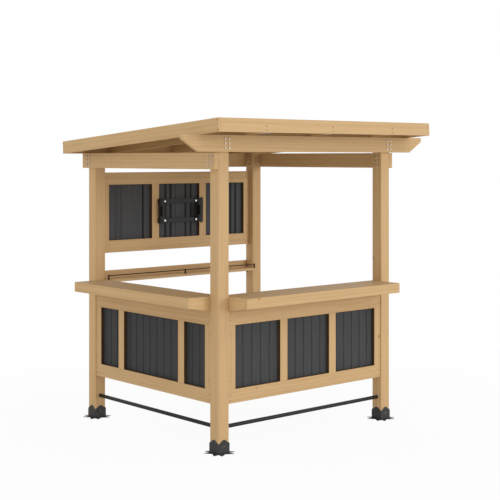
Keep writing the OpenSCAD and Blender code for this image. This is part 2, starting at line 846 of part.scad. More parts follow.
// Each stand is a flat foot and an upright ear with a bore for the rod
module rod_stand() {
  w = 2 * rod_d;
  difference() {
    union() {
      translate([-stand_t / 2, -w / 2, 0]) cube([stand_t, w, rod_h]);
      translate([-stand_t / 2, 0, rod_h]) rotate([0, 90, 0]) cylinder(d = w, h = stand_t);
      translate([-w / 2, -w / 2, 0]) cube([w, w, stand_t / 2]);
    }
    translate([-stand_t, 0, rod_h]) rotate([0, 90, 0]) cylinder(r = rod_d / 2 + nut_clear, h = 2 * stand_t);
  }
}
module rod_stands() {
  color(dark_metal) placed()
    for (x = [rod_x0 + rod_d, frame_x / 2, frame_x - rod_x0 - rod_d])
      translate([x, rod_y, counter_z]) rod_stand();
}
// Small angle brackets under the shelf's rear corners, against the inner sides of the rear posts
module shelf_angles() {
  y = frame_y - post_w / 4 - angle_leg / 4;
  z = counter_z - shelf_t;
  color(dark_metal) placed() {
    translate([post_w, y, z - angle_leg]) cube([foot_t, angle_leg / 2, angle_leg]);
    translate([post_w, y, z - foot_t]) cube([angle_leg, angle_leg / 2, foot_t]);
    translate([frame_x - post_w - foot_t, y, z - angle_leg]) cube([foot_t, angle_leg / 2, angle_leg]);
    translate([frame_x - post_w - angle_leg, y, z - foot_t]) cube([angle_leg, angle_leg / 2, foot_t]);
  }
}

// Foot rails: tubes whose ends sit in blind bores in the posts
module foot_rail_sockets() {
  r = foot_rail_d / 2 + bolt_clear;
  translate([post_w - foot_rail_in, post_w / 2, foot_rail_z]) rotate([0, 90, 0])
    cylinder(r = r, h = bay_x + 2 * foot_rail_in);
  translate([post_w / 2, post_w - foot_rail_in, foot_rail_z]) rotate([-90, 0, 0])
    cylinder(r = r, h = bay_y + 2 * foot_rail_in);
}
module foot_rail(bay) {
  difference() {
    cylinder(d = foot_rail_d, h = bay + 2 * foot_rail_in);
    translate([0, 0, -eps]) cylinder(d = foot_rail_d - 2 * foot_rail_wall, h = bay + 2 * foot_rail_in + 2 * eps);
  }
}
module front_foot_rail() {
  color(dark_metal) placed() translate([post_w - foot_rail_in, post_w / 2, foot_rail_z])
    rotate([0, 90, 0]) foot_rail(bay_x);
}
module left_foot_rail() {
  color(dark_metal) placed() translate([post_w / 2, post_w - foot_rail_in, foot_rail_z])
    rotate([-90, 0, 0]) foot_rail(bay_y);
}

// Display bracket, drawn round its own centre: x along the wall, y towards the wall, z up
module at_bracket() {
  translate([frame_x / 2, wall_inner_y, bracket_z]) children();
}
leg_face = -bracket_t;
rail_face = -rail_gap - bracket_t;
plate_back = rail_face - slide_gap;
plate_face = plate_back - bracket_t;
pivot_y = plate_face - pivot_out;
half_w = bracket_w / 2;

// A side plate stands clear of the wall frame and has a foot on it behind each rail
module side_plate() {
  translate([-half_w, -side_plate_out, -bracket_h / 2])
    cube([bracket_t, side_plate_out - rail_gap, bracket_h]);
  for (z = [-rail_off, rail_off]) translate([-half_w, 0, z - bracket_rail_h / 2]) {
    translate([0, -rail_gap - eps, 0]) cube([bracket_t, rail_gap + eps, bracket_rail_h]);
    translate([0, leg_face, 0]) cube([side_leg, bracket_t, bracket_rail_h]);
  }
}
module at_bracket_screws() {
  for (side = [-1, 1], z = [-1, 1])
    translate([side * (half_w - (side_leg + bracket_t) / 2), leg_face, z * rail_off])
      rotate([-90, 0, 0]) children();
}
module bracket_side_plates() {
  color(dark_metal) placed() at_bracket() difference() {
    union() {
      side_plate();
      mirror([1, 0, 0]) side_plate();
    }
    at_bracket_screws() screw_hole(small_screw_len);
  }
}
module bracket_rails() {
  color(dark_metal) placed() at_bracket() for (z = [-rail_off, rail_off])
    translate([bracket_t - half_w, rail_face, z - bracket_rail_h / 2])
      cube([bracket_w - 2 * bracket_t, bracket_t, bracket_rail_h]);
}
module bracket_screws() {
  color(dark_metal) placed() at_bracket() at_bracket_screws()
    wood_screw(small_screw_head_r, bracket_t / 2, bracket_t);
}

// A carriage: a plate in front of the rails with a tab along each, hooks over and under the rails, and
// two ears for the arm
arm_at = arm_pitch / 2;
ear_t = 2.5;
ear_gap = 0.5;
ear_h = 2 * (lock_r + lock_d * 1.5);
ear_in = arm_w / 2 + ear_gap;
hook_w = 15;
hook_gap = 1.5;
hook_lap = 12;
hook_top = rail_off + bracket_rail_h / 2 + slide_gap;
clamp_x = 35;
tab_end = 10;
slot_play = 1;
tilt_down = 12;
tilt_up = 5;

module hook() {
  y_back = -rail_gap + hook_gap;
  translate([-hook_w, plate_face, hook_top]) cube([2 * hook_w, y_back + bracket_t - plate_face, bracket_t]);
  translate([-hook_w, y_back, hook_top - hook_lap]) cube([2 * hook_w, bracket_t, hook_lap + eps]);
}
// The slot lets the lock bolt swing with the arm from tilt_up backwards to tilt_down forwards
module lock_slot() {
  r = lock_d / 2 + slot_play;
  for (y = [-lock_r * sin(tilt_up), lock_r * sin(tilt_down)])
    translate([0, pivot_y + y, -lock_r]) rotate([0, 90, 0]) cylinder(r = r, h = 4 * arm_w, center = true);
  translate([-2 * arm_w, pivot_y - lock_r * sin(tilt_up), -lock_r - r])
    cube([4 * arm_w, lock_r * (sin(tilt_up) + sin(tilt_down)), 2 * r]);
}
module carriage() {
  difference() {
    union() {
      translate([-hook_w, plate_face, -hook_top - bracket_t])
        cube([2 * hook_w, bracket_t, 2 * (hook_top + bracket_t)]);
      for (z = [-rail_off, rail_off]) translate([0, plate_face, z - bracket_rail_h / 2])
        cube([clamp_x + tab_end, bracket_t, bracket_rail_h]);
      hook();
      mirror([0, 0, 1]) hook();
      for (x = [-ear_in - ear_t, ear_in])
        translate([x, pivot_y - pivot_d, -ear_h / 2]) cube([ear_t, plate_face - pivot_y + pivot_d + eps, ear_h]);
    }
    translate([0, pivot_y, 0]) rotate([0, 90, 0])
      cylinder(r = pivot_d / 2 + pivot_clear, h = 4 * arm_w, center = true);
    lock_slot();
    at_clamp_screws() cylinder(r = screw_r + nut_clear, h = 4 * bracket_t, center = true);
  }
  at_clamp_screws() clamp_screw();
}
// Bright screws that clamp the carriage, one in front of each rail
module at_clamp_screws() {
  for (z = [-rail_off, rail_off]) translate([clamp_x, plate_face, z]) rotate([-90, 0, 0]) children();
}
module clamp_screw() {
  translate([0, 0, -screw_head_h]) cylinder(d = screw_head_d, h = screw_head_h);
  translate([0, 0, -eps]) cylinder(r = screw_r + nut_clear, h = bracket_t + eps);
}
module left_carriage() {
  color(dark_metal) placed() at_bracket() translate([-arm_at, 0, 0]) carriage();
}
module right_carriage() {
  color(dark_metal) placed() at_bracket() translate([arm_at, 0, 0]) mirror([1, 0, 0]) carriage();
}

// Pivot and lock bolts run along x through the ears and the arm
module cross_bolt(d, z) {
  l = ear_in + ear_t;
  translate([0, pivot_y, z]) rotate([0, 90, 0]) {
    cylinder(d = d, h = 2 * l + 2, center = true);
    translate([0, 0, l]) cylinder(r = d * 0.85, h = d / 2);
    translate([0, 0, -l - d / 2]) cylinder(r = d * 0.85, h = d / 2);
  }
}
module left_pivot_bolt() {
  color(dark_metal) placed() at_bracket() translate([-arm_at, 0, 0]) cross_bolt(pivot_d, 0);
}
module right_pivot_bolt() {
  color(dark_metal) placed() at_bracket() translate([arm_at, 0, 0]) cross_bolt(pivot_d, 0);
}
module left_lock_bolt() {
  color(dark_metal) placed() at_bracket() translate([-arm_at, 0, 0]) cross_bolt(lock_d, -lock_r);
}
module right_lock_bolt() {
  color(dark_metal) placed() at_bracket() translate([arm_at, 0, 0]) cross_bolt(lock_d, -lock_r);
}

// A display arm: a channel open towards the wall, with flanges round its bolts
module display_arm() {
  face = pivot_y - arm_front;
  difference() {
    union() {
      translate([-arm_w / 2, face, -arm_h / 2]) cube([arm_w, ear_t, arm_h]);
      for (x = [-arm_w / 2, arm_w / 2 - ear_t]) translate([x, face, -ear_h / 2])
        cube([ear_t, arm_front + pivot_d * 0.9, ear_h]);
    }
    translate([0, pivot_y, 0]) rotate([0, 90, 0])
      cylinder(r = pivot_d / 2 + pivot_clear, h = 2 * arm_w, center = true);
    translate([0, pivot_y, -lock_r]) rotate([0, 90, 0])
      cylinder(r = lock_d / 2 + pivot_clear, h = 2 * arm_w, center = true);
    for (z = [-display_hole_v / 2, -display_hole_v / 4, display_hole_v / 4, display_hole_v / 2])
      translate([0, face - eps, z]) rotate([-90, 0, 0]) cylinder(d = display_hole_d, h = ear_t + 2 * eps);
  }
}
module left_display_arm() {
  color(dark_metal) placed() at_bracket() translate([-arm_at, 0, 0]) display_arm();
}
module right_display_arm() {
  color(dark_metal) placed() at_bracket() translate([arm_at, 0, 0]) display_arm();
}

post_front_left();
post_front_right();
post_rear_left();
post_rear_right();
post_feet();
front_beam();
rear_beam();
left_beam();
right_beam();
beam_bolts();
beam_nuts();
front_fascia();
rear_fascia();
left_fascia();
right_fascia();
fascia_screws();
left_rafter();
middle_rafter();
right_rafter();
purlins();
left_roof_sheet();
middle_roof_sheet();
right_roof_sheet();
roof_screws();
front_wall_rails();
front_wall_uprights();
front_wall_panels();
front_wall_channels();
left_wall_rails();
left_wall_uprights();
left_wall_panels();
left_wall_channels();
display_wall_rails();
display_wall_uprights();
display_wall_panels();
display_wall_channels();
wall_screws();
front_counter_boards();
front_counter_frame();
left_counter_boards();
left_counter_frame();
counter_bearers();
rear_shelf();
rear_shelf_back();
guard_rod();
rod_stands();
shelf_angles();
front_foot_rail();
left_foot_rail();
bracket_rails();
bracket_side_plates();
bracket_screws();
left_carriage();
right_carriage();
left_pivot_bolt();
right_pivot_bolt();
left_display_arm();
right_display_arm();
left_lock_bolt();
right_lock_bolt();
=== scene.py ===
# %% [markdown]
# # A timber grill gazebo
# A bar shelter for the garden: four stained posts on black steel feet, a lean-to roof, two bar counters on
# panelled walls, and a display wall with a steel bracket above a narrow shelf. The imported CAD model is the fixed
# frame, in metres from the middle of the object. The pieces could be drawn straight in that frame, but a joiner
# reads a drawing in millimetres from the corner of a post. So they are drawn that way, and one matrix moves them.

# %% Load the frame
import math
from itertools import count

import bmesh
import bpy
from mathutils import Matrix, Vector
from numpy import interp


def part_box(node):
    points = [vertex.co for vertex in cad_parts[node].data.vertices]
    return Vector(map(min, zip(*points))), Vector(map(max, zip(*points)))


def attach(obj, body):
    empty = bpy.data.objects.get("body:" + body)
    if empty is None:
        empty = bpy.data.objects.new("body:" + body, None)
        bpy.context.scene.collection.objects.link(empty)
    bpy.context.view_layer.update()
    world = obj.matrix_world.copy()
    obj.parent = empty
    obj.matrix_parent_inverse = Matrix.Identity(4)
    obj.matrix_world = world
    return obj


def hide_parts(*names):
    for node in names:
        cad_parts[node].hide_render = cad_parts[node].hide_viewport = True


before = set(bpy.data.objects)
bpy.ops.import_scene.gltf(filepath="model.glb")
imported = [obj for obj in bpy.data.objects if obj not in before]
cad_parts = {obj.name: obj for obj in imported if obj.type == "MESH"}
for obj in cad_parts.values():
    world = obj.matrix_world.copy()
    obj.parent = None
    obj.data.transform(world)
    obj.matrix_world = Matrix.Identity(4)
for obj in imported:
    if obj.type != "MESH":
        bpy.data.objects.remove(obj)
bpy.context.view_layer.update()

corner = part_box("post_front_left")[0]
PLACE = Matrix.Translation((corner.x, corner.y, 0)) @ Matrix.Scale(0.001, 4)

# %% [markdown]
# ## Camera
# The product picture was taken with a long lens at eye height: the uprights stay upright, and the horizon lies
# above the middle of the picture. A camera could be tilted down to bring the object in, but that would lean the
# posts. A level camera whose lens is shifted down doesn't. Its place was found by fitting a pinhole camera to the
# ends of the posts, beams and counters.

# %% Set up the camera
lens = bpy.data.cameras.new("view")
lens.sensor_width = 36
lens.lens = 84.53
lens.shift_x = 0.0016
lens.shift_y = -0.185
camera = bpy.data.objects.new("view", lens)
camera.location = (-6.0595, -6.9870, 2.0606)
camera.rotation_euler = (math.radians(90), 0, math.radians(-41.105))
bpy.context.scene.collection.objects.link(camera)
bpy.context.scene.camera = camera
bpy.context.scene.view_settings.view_transform = "Standard"
print(f"Camera: {lens.lens:.1f} mm lens, {camera.location.z:.2f} m above the ground")

# %% [markdown]
# ## Materials
# Every finish is a small tree of shader nodes. It could be wired up by hand in the shader editor, but written out
# it can be read from top to bottom and used again. Colours are given as the hex values of a paint card, and one
# function turns them into the linear numbers that a shader needs. One more adds a node with its settings and its
# links, so every recipe below is a row of its calls.

# %% Colour and node helpers
def tone(hex_colour):
    """A linear RGBA colour from an sRGB hex value such as D3B07F."""
    parts = [int(hex_colour[i:i + 2], 16) / 255 for i in (0, 2, 4)]
    return (*[c / 12.92 if c <= 0.04045 else ((c + 0.055) / 1.055) ** 2.4 for c in parts], 1)


def add(tree, kind, inputs=None, stops=(), **settings):
    """Adds one node. An input that is a socket is linked, and any other value is set. The stops of a colour ramp
    are positions and hex colours."""
    node = tree.nodes.new("ShaderNode" + kind)
    for name, value in settings.items():
        setattr(node, name, value)
    for key, value in (inputs or {}).items():
        if isinstance(value, bpy.types.NodeSocket):
            tree.links.new(value, node.inputs[key])
        else:
            node.inputs[key].default_value = value
    while stops and len(node.color_ramp.elements) < len(stops):
        node.color_ramp.elements.new(1)
    for i, (position, colour) in enumerate(stops):
        element = node.color_ramp.elements[i]
        element.position, element.color = position, tone(colour)
    return node


def new_finish(name, surface):
    """A material with an empty tree but for its shader and output."""
    material = bpy.data.materials.new(name)
    material.use_nodes = True
    tree = material.node_tree
    tree.nodes.clear()
    shader = add(tree, "BsdfPrincipled", surface)
    add(tree, "OutputMaterial", {"Surface": shader.outputs[0]})
    return material, tree, shader


print("The stain D4B07E in linear light:", [round(part, 3) for part in tone("D4B07E")])

# %% [markdown]
# ### Stained spruce
# The boards are planed softwood with a honey-brown stain, which gives the eye warm stripes under a satin sheen. A
# picture of planks could be wrapped round each board, but it would show seams at the arrises and the same figure
# on every board. A real board is cut out of a log, so its grain is a solid pattern here: rings round a pith that
# lies beside the board, and long fibres along it. Each board keeps its place in the log in a vector attribute
# named grain, in metres with the fibres along its first number. The end grain then shows rings, and no two boards
# match. Real rings are 3 to 5 mm wide, too fine to show from across a garden, so a second set of 21 mm is laid
# over them.

# %% Draw the grain of a log
WAVE = math.pi / 10
WIDE_RINGS, TRUE_RINGS = 15, 70
print(f"A wave comes back every {WAVE:.3f} m at scale 1, so the rings are {WAVE / WIDE_RINGS * 1000:.1f} "
      f"and {WAVE / TRUE_RINGS * 1000:.1f} mm wide")


def log_grain(tree, grain):
    """The shade of the wood from pale to deep, its fibres and its true rings."""
    # The trunk is drawn out ten times, so that its rings wander slowly along the board
    trunk = add(tree, "Mapping", {"Vector": grain, "Scale": (0.1, 1, 1)}, vector_type="POINT").outputs[0]
    wide = add(tree, "TexWave", {"Vector": trunk, "Scale": WIDE_RINGS, "Distortion": 4, "Detail": 2,
                                 "Detail Scale": 0.6}, wave_type="RINGS", rings_direction="X").outputs["Fac"]
    fine = add(tree, "TexWave", {"Vector": trunk, "Scale": TRUE_RINGS, "Distortion": 5, "Detail": 2,
                                 "Detail Scale": 0.3}, wave_type="RINGS", rings_direction="X").outputs["Fac"]

    # Noise drawn out along the board: fibres 4 mm apart, and bands 28 mm apart
    thin = add(tree, "Mapping", {"Vector": grain, "Scale": (6, 240, 240)}, vector_type="POINT").outputs[0]
    fibres = add(tree, "TexNoise", {"Vector": thin, "Scale": 1, "Detail": 3, "Roughness": 0.6}).outputs["Fac"]
    broad = add(tree, "Mapping", {"Vector": grain, "Scale": (2.2, 36, 36)}, vector_type="POINT").outputs[0]
    shade = add(tree, "TexNoise", {"Vector": broad, "Scale": 1, "Detail": 2, "Roughness": 0.5}).outputs["Fac"]

    # The bands count most, then the rings, then the fibres
    for share, pattern in ((0.30, wide), (0.12, fine), (0.20, fibres)):
        shade = add(tree, "Mix", {"Factor": share, "A": shade, "B": pattern}).outputs["Result"]
    return shade, fibres, fine

# %% [markdown]
# ### Depth of stain, painted shade and knots
# Every board takes the stain a little differently, and the upper faces of a worktop are painted darker: painted
# shade, for the little light that falls on them from above. Each board could have a material of its own for its
# stain, but then there would be a hundred. Here the grain attribute tells the boards apart, because a new one
# starts every 5 m along the log, and a random number for each sets its depth. Knots come from a Voronoi pattern:
# few of its cells are chosen, and the distance to the middle of a cell draws the knot.

# %% Vary the boards
LOG_STEP = 5.0
KNOT_TONE, KNOT_FROM = "8A5E38", 0.86
print(f"One board every {LOG_STEP} m of log, and a knot in {1 - KNOT_FROM:.0%} of the cells")


def facing_up(tree):
    """Which way the surface faces: 1 on top, 0 on an upright side and -1 underneath."""
    direction = add(tree, "NewGeometry").outputs["True Normal"]
    return add(tree, "SeparateXYZ", {"Vector": direction}).outputs["Z"]


def stain_depth_and_top_shade(tree, grain, worktop):
    """How deep the stain went into a board, with painted shade on top: the upper faces of a worktop are multiplied
    by worktop.
    """
    length = add(tree, "SeparateXYZ", {"Vector": grain}).outputs["X"]
    steps = add(tree, "Math", {0: length, 1: LOG_STEP}, operation="DIVIDE").outputs[0]
    number = add(tree, "Math", {0: steps}, operation="ROUND").outputs[0]
    lot = add(tree, "TexWhiteNoise", {"W": number}, noise_dimensions="1D").outputs["Value"]
    depth = add(tree, "MapRange", {"Value": lot, "To Min": 0.97, "To Max": 1.025}).outputs[0]
    # Painted shade: the upper faces of a worktop are darkened for the little light that falls on them from above
    if worktop:
        painted_top_shade = add(tree, "MapRange", {"Value": facing_up(tree), "From Min": 0.7, "From Max": 0.95,
                                       "To Min": 1.0, "To Max": worktop}).outputs[0]
        depth = add(tree, "Math", {0: depth, 1: painted_top_shade}, operation="MULTIPLY").outputs[0]
    return depth


def knots(tree, grain):
    """Small brown knots, 10 to 25 mm long, in a few cells of 16 by 11 cm."""
    spread = add(tree, "Mapping", {"Vector": grain, "Scale": (6, 9, 9)}, vector_type="POINT").outputs[0]
    cell = add(tree, "TexVoronoi", {"Vector": spread, "Scale": 1, "Randomness": 1})
    chance = add(tree, "SeparateColor", {"Color": cell.outputs["Color"]}).outputs["Red"]
    chosen = add(tree, "Math", {0: chance, 1: KNOT_FROM}, operation="GREATER_THAN").outputs[0]
    core = add(tree, "MapRange", {"Value": cell.outputs["Distance"], "From Min": 0.03, "From Max": 0.13,
                                  "To Min": 0.7, "To Max": 0.0}).outputs[0]
    return add(tree, "Math", {0: core, 1: chosen}, operation="MULTIPLY").outputs[0]

# %% Make the stained spruce
def stained_spruce(name, pale, middle, deep, worktop=None):
    """Planed spruce in three tones of its stain."""
    material, tree, shader = new_finish(name, {"Roughness": 0.55, "Specular IOR Level": 0.3})
    grain = add(tree, "Attribute", attribute_name="grain").outputs["Vector"]
    shade, fibres, fine = log_grain(tree, grain)
    wood = add(tree, "ValToRGB", {"Fac": shade}, stops=((0.14, pale), (0.50, middle), (0.90, deep)))
    depth = stain_depth_and_top_shade(tree, grain, worktop)
    depth = add(tree, "CombineColor", {"Red": depth, "Green": depth, "Blue": depth}).outputs[0]
    colour = add(tree, "Mix", {"Factor": 1.0, "A": wood.outputs["Color"], "B": depth},
                 data_type="RGBA", blend_type="MULTIPLY").outputs["Result"]
    colour = add(tree, "Mix", {"Factor": knots(tree, grain), "A": colour, "B": tone(KNOT_TONE)},
                 data_type="RGBA").outputs["Result"]
    tree.links.new(colour, shader.inputs["Base Color"])

    # A satin surface whose late wood stands a hair proud
    gloss = add(tree, "MapRange", {"Value": fibres, "To Min": 0.46, "To Max": 0.66}).outputs[0]
    tree.links.new(gloss, shader.inputs["Roughness"])
    relief = add(tree, "Mix", {"Factor": 0.5, "A": fibres, "B": fine}).outputs["Result"]
    bump = add(tree, "Bump", {"Height": relief, "Strength": 0.35, "Distance": 0.0004}).outputs[0]
    tree.links.new(bump, shader.inputs["Normal"])
    return material


spruce = stained_spruce("stained_spruce", "DCB887", "D4B07E", "C49D6C")
# The worktop's copy has painted shade on its upper faces
worktop_spruce = stained_spruce("stained_spruce_worktop", "DCB887", "D4B07E", "C49D6C", worktop=0.82)
# The roof timbers' copy is darker all over: painted shade for the timbers under the roof
roof_spruce_painted_shade = stained_spruce("stained_spruce_roof_painted_shade", "D0AD79", "C8A471", "B89360")
for wood in (spruce, worktop_spruce, roof_spruce_painted_shade):
    print(f"{wood.name}: {len(wood.node_tree.nodes)} nodes")

# %% [markdown]
# ### Coated steel
# Feet, foot rails and bracket have a black powder coat. Baked powder gives the eye a faint orange peel, about a
# millimetre across, and its shine varies a little in clouds. The guard rod's coat is browner, the frame's screws
# are bronze, and dark brown strips line the openings: painted shade in their reveals. Panels and roof are
# coil-coated sheet, flatter and greyer, with slight streaks down the sheet. Each finish could have a tree of its
# own, but they differ only in tones and numbers, so one function makes them all. Two options are for sheets. fold
# mixes in a dark tone where an attribute of that name asks for it: painted shade in the folds of the grooves, where
# little light gets in, and a thin dark line. back gives the underside the pale primer that a roof sheet has there.

# %% Make the coated steels
POWDER_PEEL, COIL_PEEL = 0.0012, 0.0010


def coated_steel(name, pale, deep, roughness, peel, streak=(1, 1, 1), shine=0.5, fold=None, back=None):
    """Steel under paint: peel is the size of the paint's grain in metres, and streak scales the clouds' axes."""
    material, tree, shader = new_finish(name, {"Roughness": roughness, "Specular IOR Level": shine})
    place = add(tree, "TexCoord").outputs["Object"]
    drawn = add(tree, "Mapping", {"Vector": place, "Scale": streak}, vector_type="POINT").outputs[0]
    cloud = add(tree, "TexNoise", {"Vector": drawn, "Scale": 9, "Detail": 5, "Roughness": 0.6}).outputs["Fac"]
    colour = add(tree, "ValToRGB", {"Fac": cloud}, stops=((0.32, deep), (0.68, pale))).outputs["Color"]
    # Painted shade: a dark tone mixed in where the fold attribute asks for it, in the folds of grooves, and for a
    # thin dark line
    if fold:
        crease = add(tree, "Attribute", attribute_name="fold").outputs["Vector"]
        crease = add(tree, "SeparateXYZ", {"Vector": crease}).outputs["X"]
        colour = add(tree, "Mix", {"Factor": crease, "A": colour, "B": tone(fold)},
                     data_type="RGBA").outputs["Result"]
    if back:
        under = add(tree, "Math", {0: facing_up(tree), 1: 0.0}, operation="LESS_THAN").outputs[0]
        colour = add(tree, "Mix", {"Factor": under, "A": colour, "B": tone(back)},
                     data_type="RGBA").outputs["Result"]
    tree.links.new(colour, shader.inputs["Base Color"])
    gloss = add(tree, "MapRange", {"Value": cloud, "To Min": roughness - 0.08, "To Max": roughness + 0.12})
    tree.links.new(gloss.outputs[0], shader.inputs["Roughness"])
    grit = add(tree, "TexNoise", {"Vector": place, "Scale": 1 / peel, "Detail": 2}).outputs["Fac"]
    bump = add(tree, "Bump", {"Height": grit, "Strength": 0.25, "Distance": 0.0002}).outputs[0]
    tree.links.new(bump, shader.inputs["Normal"])
    return material


foot_coat = coated_steel("grey_black_powder_coat", "313235", "222326", roughness=0.42, peel=POWDER_PEEL)
powder_coat = coated_steel("black_powder_coat", "222325", "18191A", roughness=0.45, peel=POWDER_PEEL, shine=0.3)
rod_steel = coated_steel("brown_black_coat", "2B2420", "1F1A17", roughness=0.5, peel=POWDER_PEEL, shine=0.2)
screw_steel = coated_steel("bronze_coated_screw", "B08B5E", "9A784E", roughness=0.6, peel=POWDER_PEEL, shine=0.2)
# Painted shade: these dark brown strips in the openings' reveals stand in for the shade there
painted_reveal_shade = coated_steel("brown_painted_reveal_shade", "5A4128", "4A3520", roughness=0.6, peel=POWDER_PEEL, shine=0.25)
# The tone 161617 is mixed in where the fold attribute asks for it, only on the display wall: painted shade in its
# grooves' folds and a thin dark line
panel_steel = {}
# One sheet in three tones, matched to how each wall is lit: the left wall's darker copy is painted shade, the
# display wall's paler copy painted light
for name, pale, deep in (("front_wall", "474849", "3E3F41"), ("left_wall", "414243", "38393A"),
                         ("display_wall", "4D4E50", "444547")):
    panel_steel[name] = coated_steel(name + "_coil_coated_sheet", pale, deep, roughness=0.6, peel=COIL_PEEL,
                                     streak=(6, 6, 0.4), shine=0.25, fold="161617")
roof_steel = coated_steel("charcoal_coil_coated_sheet", "4A4C4F", "3E4043", roughness=0.55, peel=COIL_PEEL,
                          streak=(6, 0.5, 6), shine=0.3, back="B5AB9B")
for coat in (foot_coat, powder_coat, rod_steel, screw_steel, painted_reveal_shade, *panel_steel.values(), roof_steel):
    print(f"{coat.name}: {len(coat.node_tree.nodes)} nodes")

# %% [markdown]
# ### Zinc plate
# Bolts and nuts are plated with zinc, which is bright when new and goes dull outdoors. One tone of metal could do
# for all, but three look right: the bracket's clamp bolts sparkle, the beam bolts are weathered, and the nuts sit
# in the shade behind the beams, where zinc mirrors the brown timber. The last two are therefore less metallic and
# rougher, with the timber's brown painted into their plate as a painted reflection.

# %% Make the zinc plates
def zinc_plate(name, pale, deep, metal, roughness):
    """Plated steel with a bloom of specks 4 mm apart."""
    material, tree, shader = new_finish(name, {"Metallic": metal, "Roughness": roughness})
    place = add(tree, "TexCoord").outputs["Object"]
    bloom = add(tree, "TexNoise", {"Vector": place, "Scale": 260, "Detail": 3}).outputs["Fac"]
    colour = add(tree, "ValToRGB", {"Fac": bloom}, stops=((0.35, deep), (0.65, pale))).outputs["Color"]
    tree.links.new(colour, shader.inputs["Base Color"])
    gloss = add(tree, "MapRange", {"Value": bloom, "To Min": roughness - 0.08, "To Max": roughness + 0.12})
    tree.links.new(gloss.outputs[0], shader.inputs["Roughness"])
    return material


zinc = zinc_plate("bright_zinc_plate", "F2EFE8", "DEDBD4", metal=1.0, roughness=0.34)
# Painted reflection: the weathered plate is warmed with the brown of the timber that it mirrors
dull_zinc = zinc_plate("weathered_zinc_painted_reflection", "DCCFC0", "C4B6A6", metal=0.75, roughness=0.5)
# Painted reflection: the nuts' plate takes the brown of the timber round them
nut_zinc = zinc_plate("shaded_zinc_painted_reflection", "C2A680", "AA906C", metal=0.1, roughness=0.7)
for plate in (zinc, dull_zinc, nut_zinc):
    print(f"{plate.name}: {len(plate.node_tree.nodes)} nodes")

# %% [markdown]
# ## Boards
# A joiner's board is a box with its arrises eased by a pass of the plane. It could be a cube object with a bevel
# modifier, but a piece of several boards is one mesh, and every board in it has its own place in the log. So a
# helper makes a board in bmesh, with a cube, its saw cuts and a bevel, and writes the grain attribute on it.

# %% Helpers for boards
X, Y, Z = 0, 1, 2
board_numbers = count(1)


def keep_grain(bm, along):
    """Writes each vertex's place in the log: metres along the board first, then from a pith beside it."""
    n = next(board_numbers)
    middle = sum((v.co for v in bm.verts), Vector()) / len(bm.verts)
    across, thick = [axis for axis in (X, Y, Z) if axis != along]

    # The pith lies 35 to 90 mm to one side of the board and 20 to 70 mm below it, each time somewhere else
    beside, below = 0.035 + 0.055 * (n * 0.618 % 1), 0.02 + 0.05 * (n * 0.371 % 1)
    side = 1 if n % 2 else -1
    layer = bm.verts.layers.float_vector.new("grain")
    for v in bm.verts:
        d = (v.co - middle) / 1000
        v[layer] = (d[along] + LOG_STEP * n, d[across] + beside * side, d[thick] + below)


def gather(piece, bm):
    """Adds one finished part to the piece, with its layers."""
    part = bpy.data.meshes.new("part")
    bm.to_mesh(part)
    bm.free()
    piece.from_mesh(part)
    bpy.data.meshes.remove(part)


def board(piece, low, high, along, ease=2.5, cuts=()):
    """One eased board from its two corners, in millimetres. Each cut is a point and the way its waste falls off."""
    low, high = Vector(low), Vector(high)
    bm = bmesh.new()
    bmesh.ops.create_cube(bm, size=1)
    bmesh.ops.scale(bm, vec=high - low, verts=bm.verts)
    bmesh.ops.translate(bm, vec=(low + high) / 2, verts=bm.verts)
    for point, away in cuts:
        uncut = [*bm.verts, *bm.edges, *bm.faces]
        bmesh.ops.bisect_plane(bm, geom=uncut, plane_co=point, plane_no=away, clear_outer=True)
        bmesh.ops.holes_fill(bm, edges=bm.edges, sides=0)
    bmesh.ops.bevel(bm, geom=bm.edges, offset=ease, affect="EDGES", segments=2, profile=0.5, material=-1)
    keep_grain(bm, along)
    gather(piece, bm)


print("A board is made from two corners, the axis of its fibres and its saw cuts")

# %% [markdown]
# ## Pieces
# A piece of the gazebo is whatever a person would take in hand as one thing: a post, or the four boards of a
# counter. It could be joined from objects at the end, but a mesh that grows board by board needs no clearing up.
# When it is complete it is moved from millimetres into the frame, and it takes the place of its CAD node.

# %% Helpers for pieces
def new_piece(layer="grain"):
    """An empty mesh in the making that already carries its vector layer."""
    bm = bmesh.new()
    bm.verts.layers.float_vector.new(layer)
    return bm


def finish_piece(piece, name, nodes, material, move=Matrix(), body="gazebo", smooth=False):
    """Moves the piece from millimetres into the frame and lets it stand for its CAD nodes."""
    bmesh.ops.transform(piece, matrix=PLACE @ move, verts=piece.verts)
    bmesh.ops.recalc_face_normals(piece, faces=piece.faces)
    for face in piece.faces:
        face.smooth = smooth
    mesh = bpy.data.meshes.new(name)
    piece.to_mesh(mesh)
    piece.free()
    mesh.materials.append(material)
    thing = bpy.data.objects.new(name, mesh)
    bpy.context.scene.collection.objects.link(thing)
    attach(thing, body)
    if nodes:
        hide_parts(*nodes)
    print(f"{name}: {len(mesh.polygons)} faces")
    return thing


print("The pieces' corner lies at", [round(x, 4) for x in PLACE.translation], "in the frame")

# %% [markdown]
# ## Posts
# Four posts, 94 mm square, stand on the plates of their feet, and the rear ones are shorter because the roof falls
# that way. A post could be scaled up from one shared mesh, but then the bevel would stretch with it. Each is a
# board of its own, with the grain running up and wider arrises than the thin boards have.

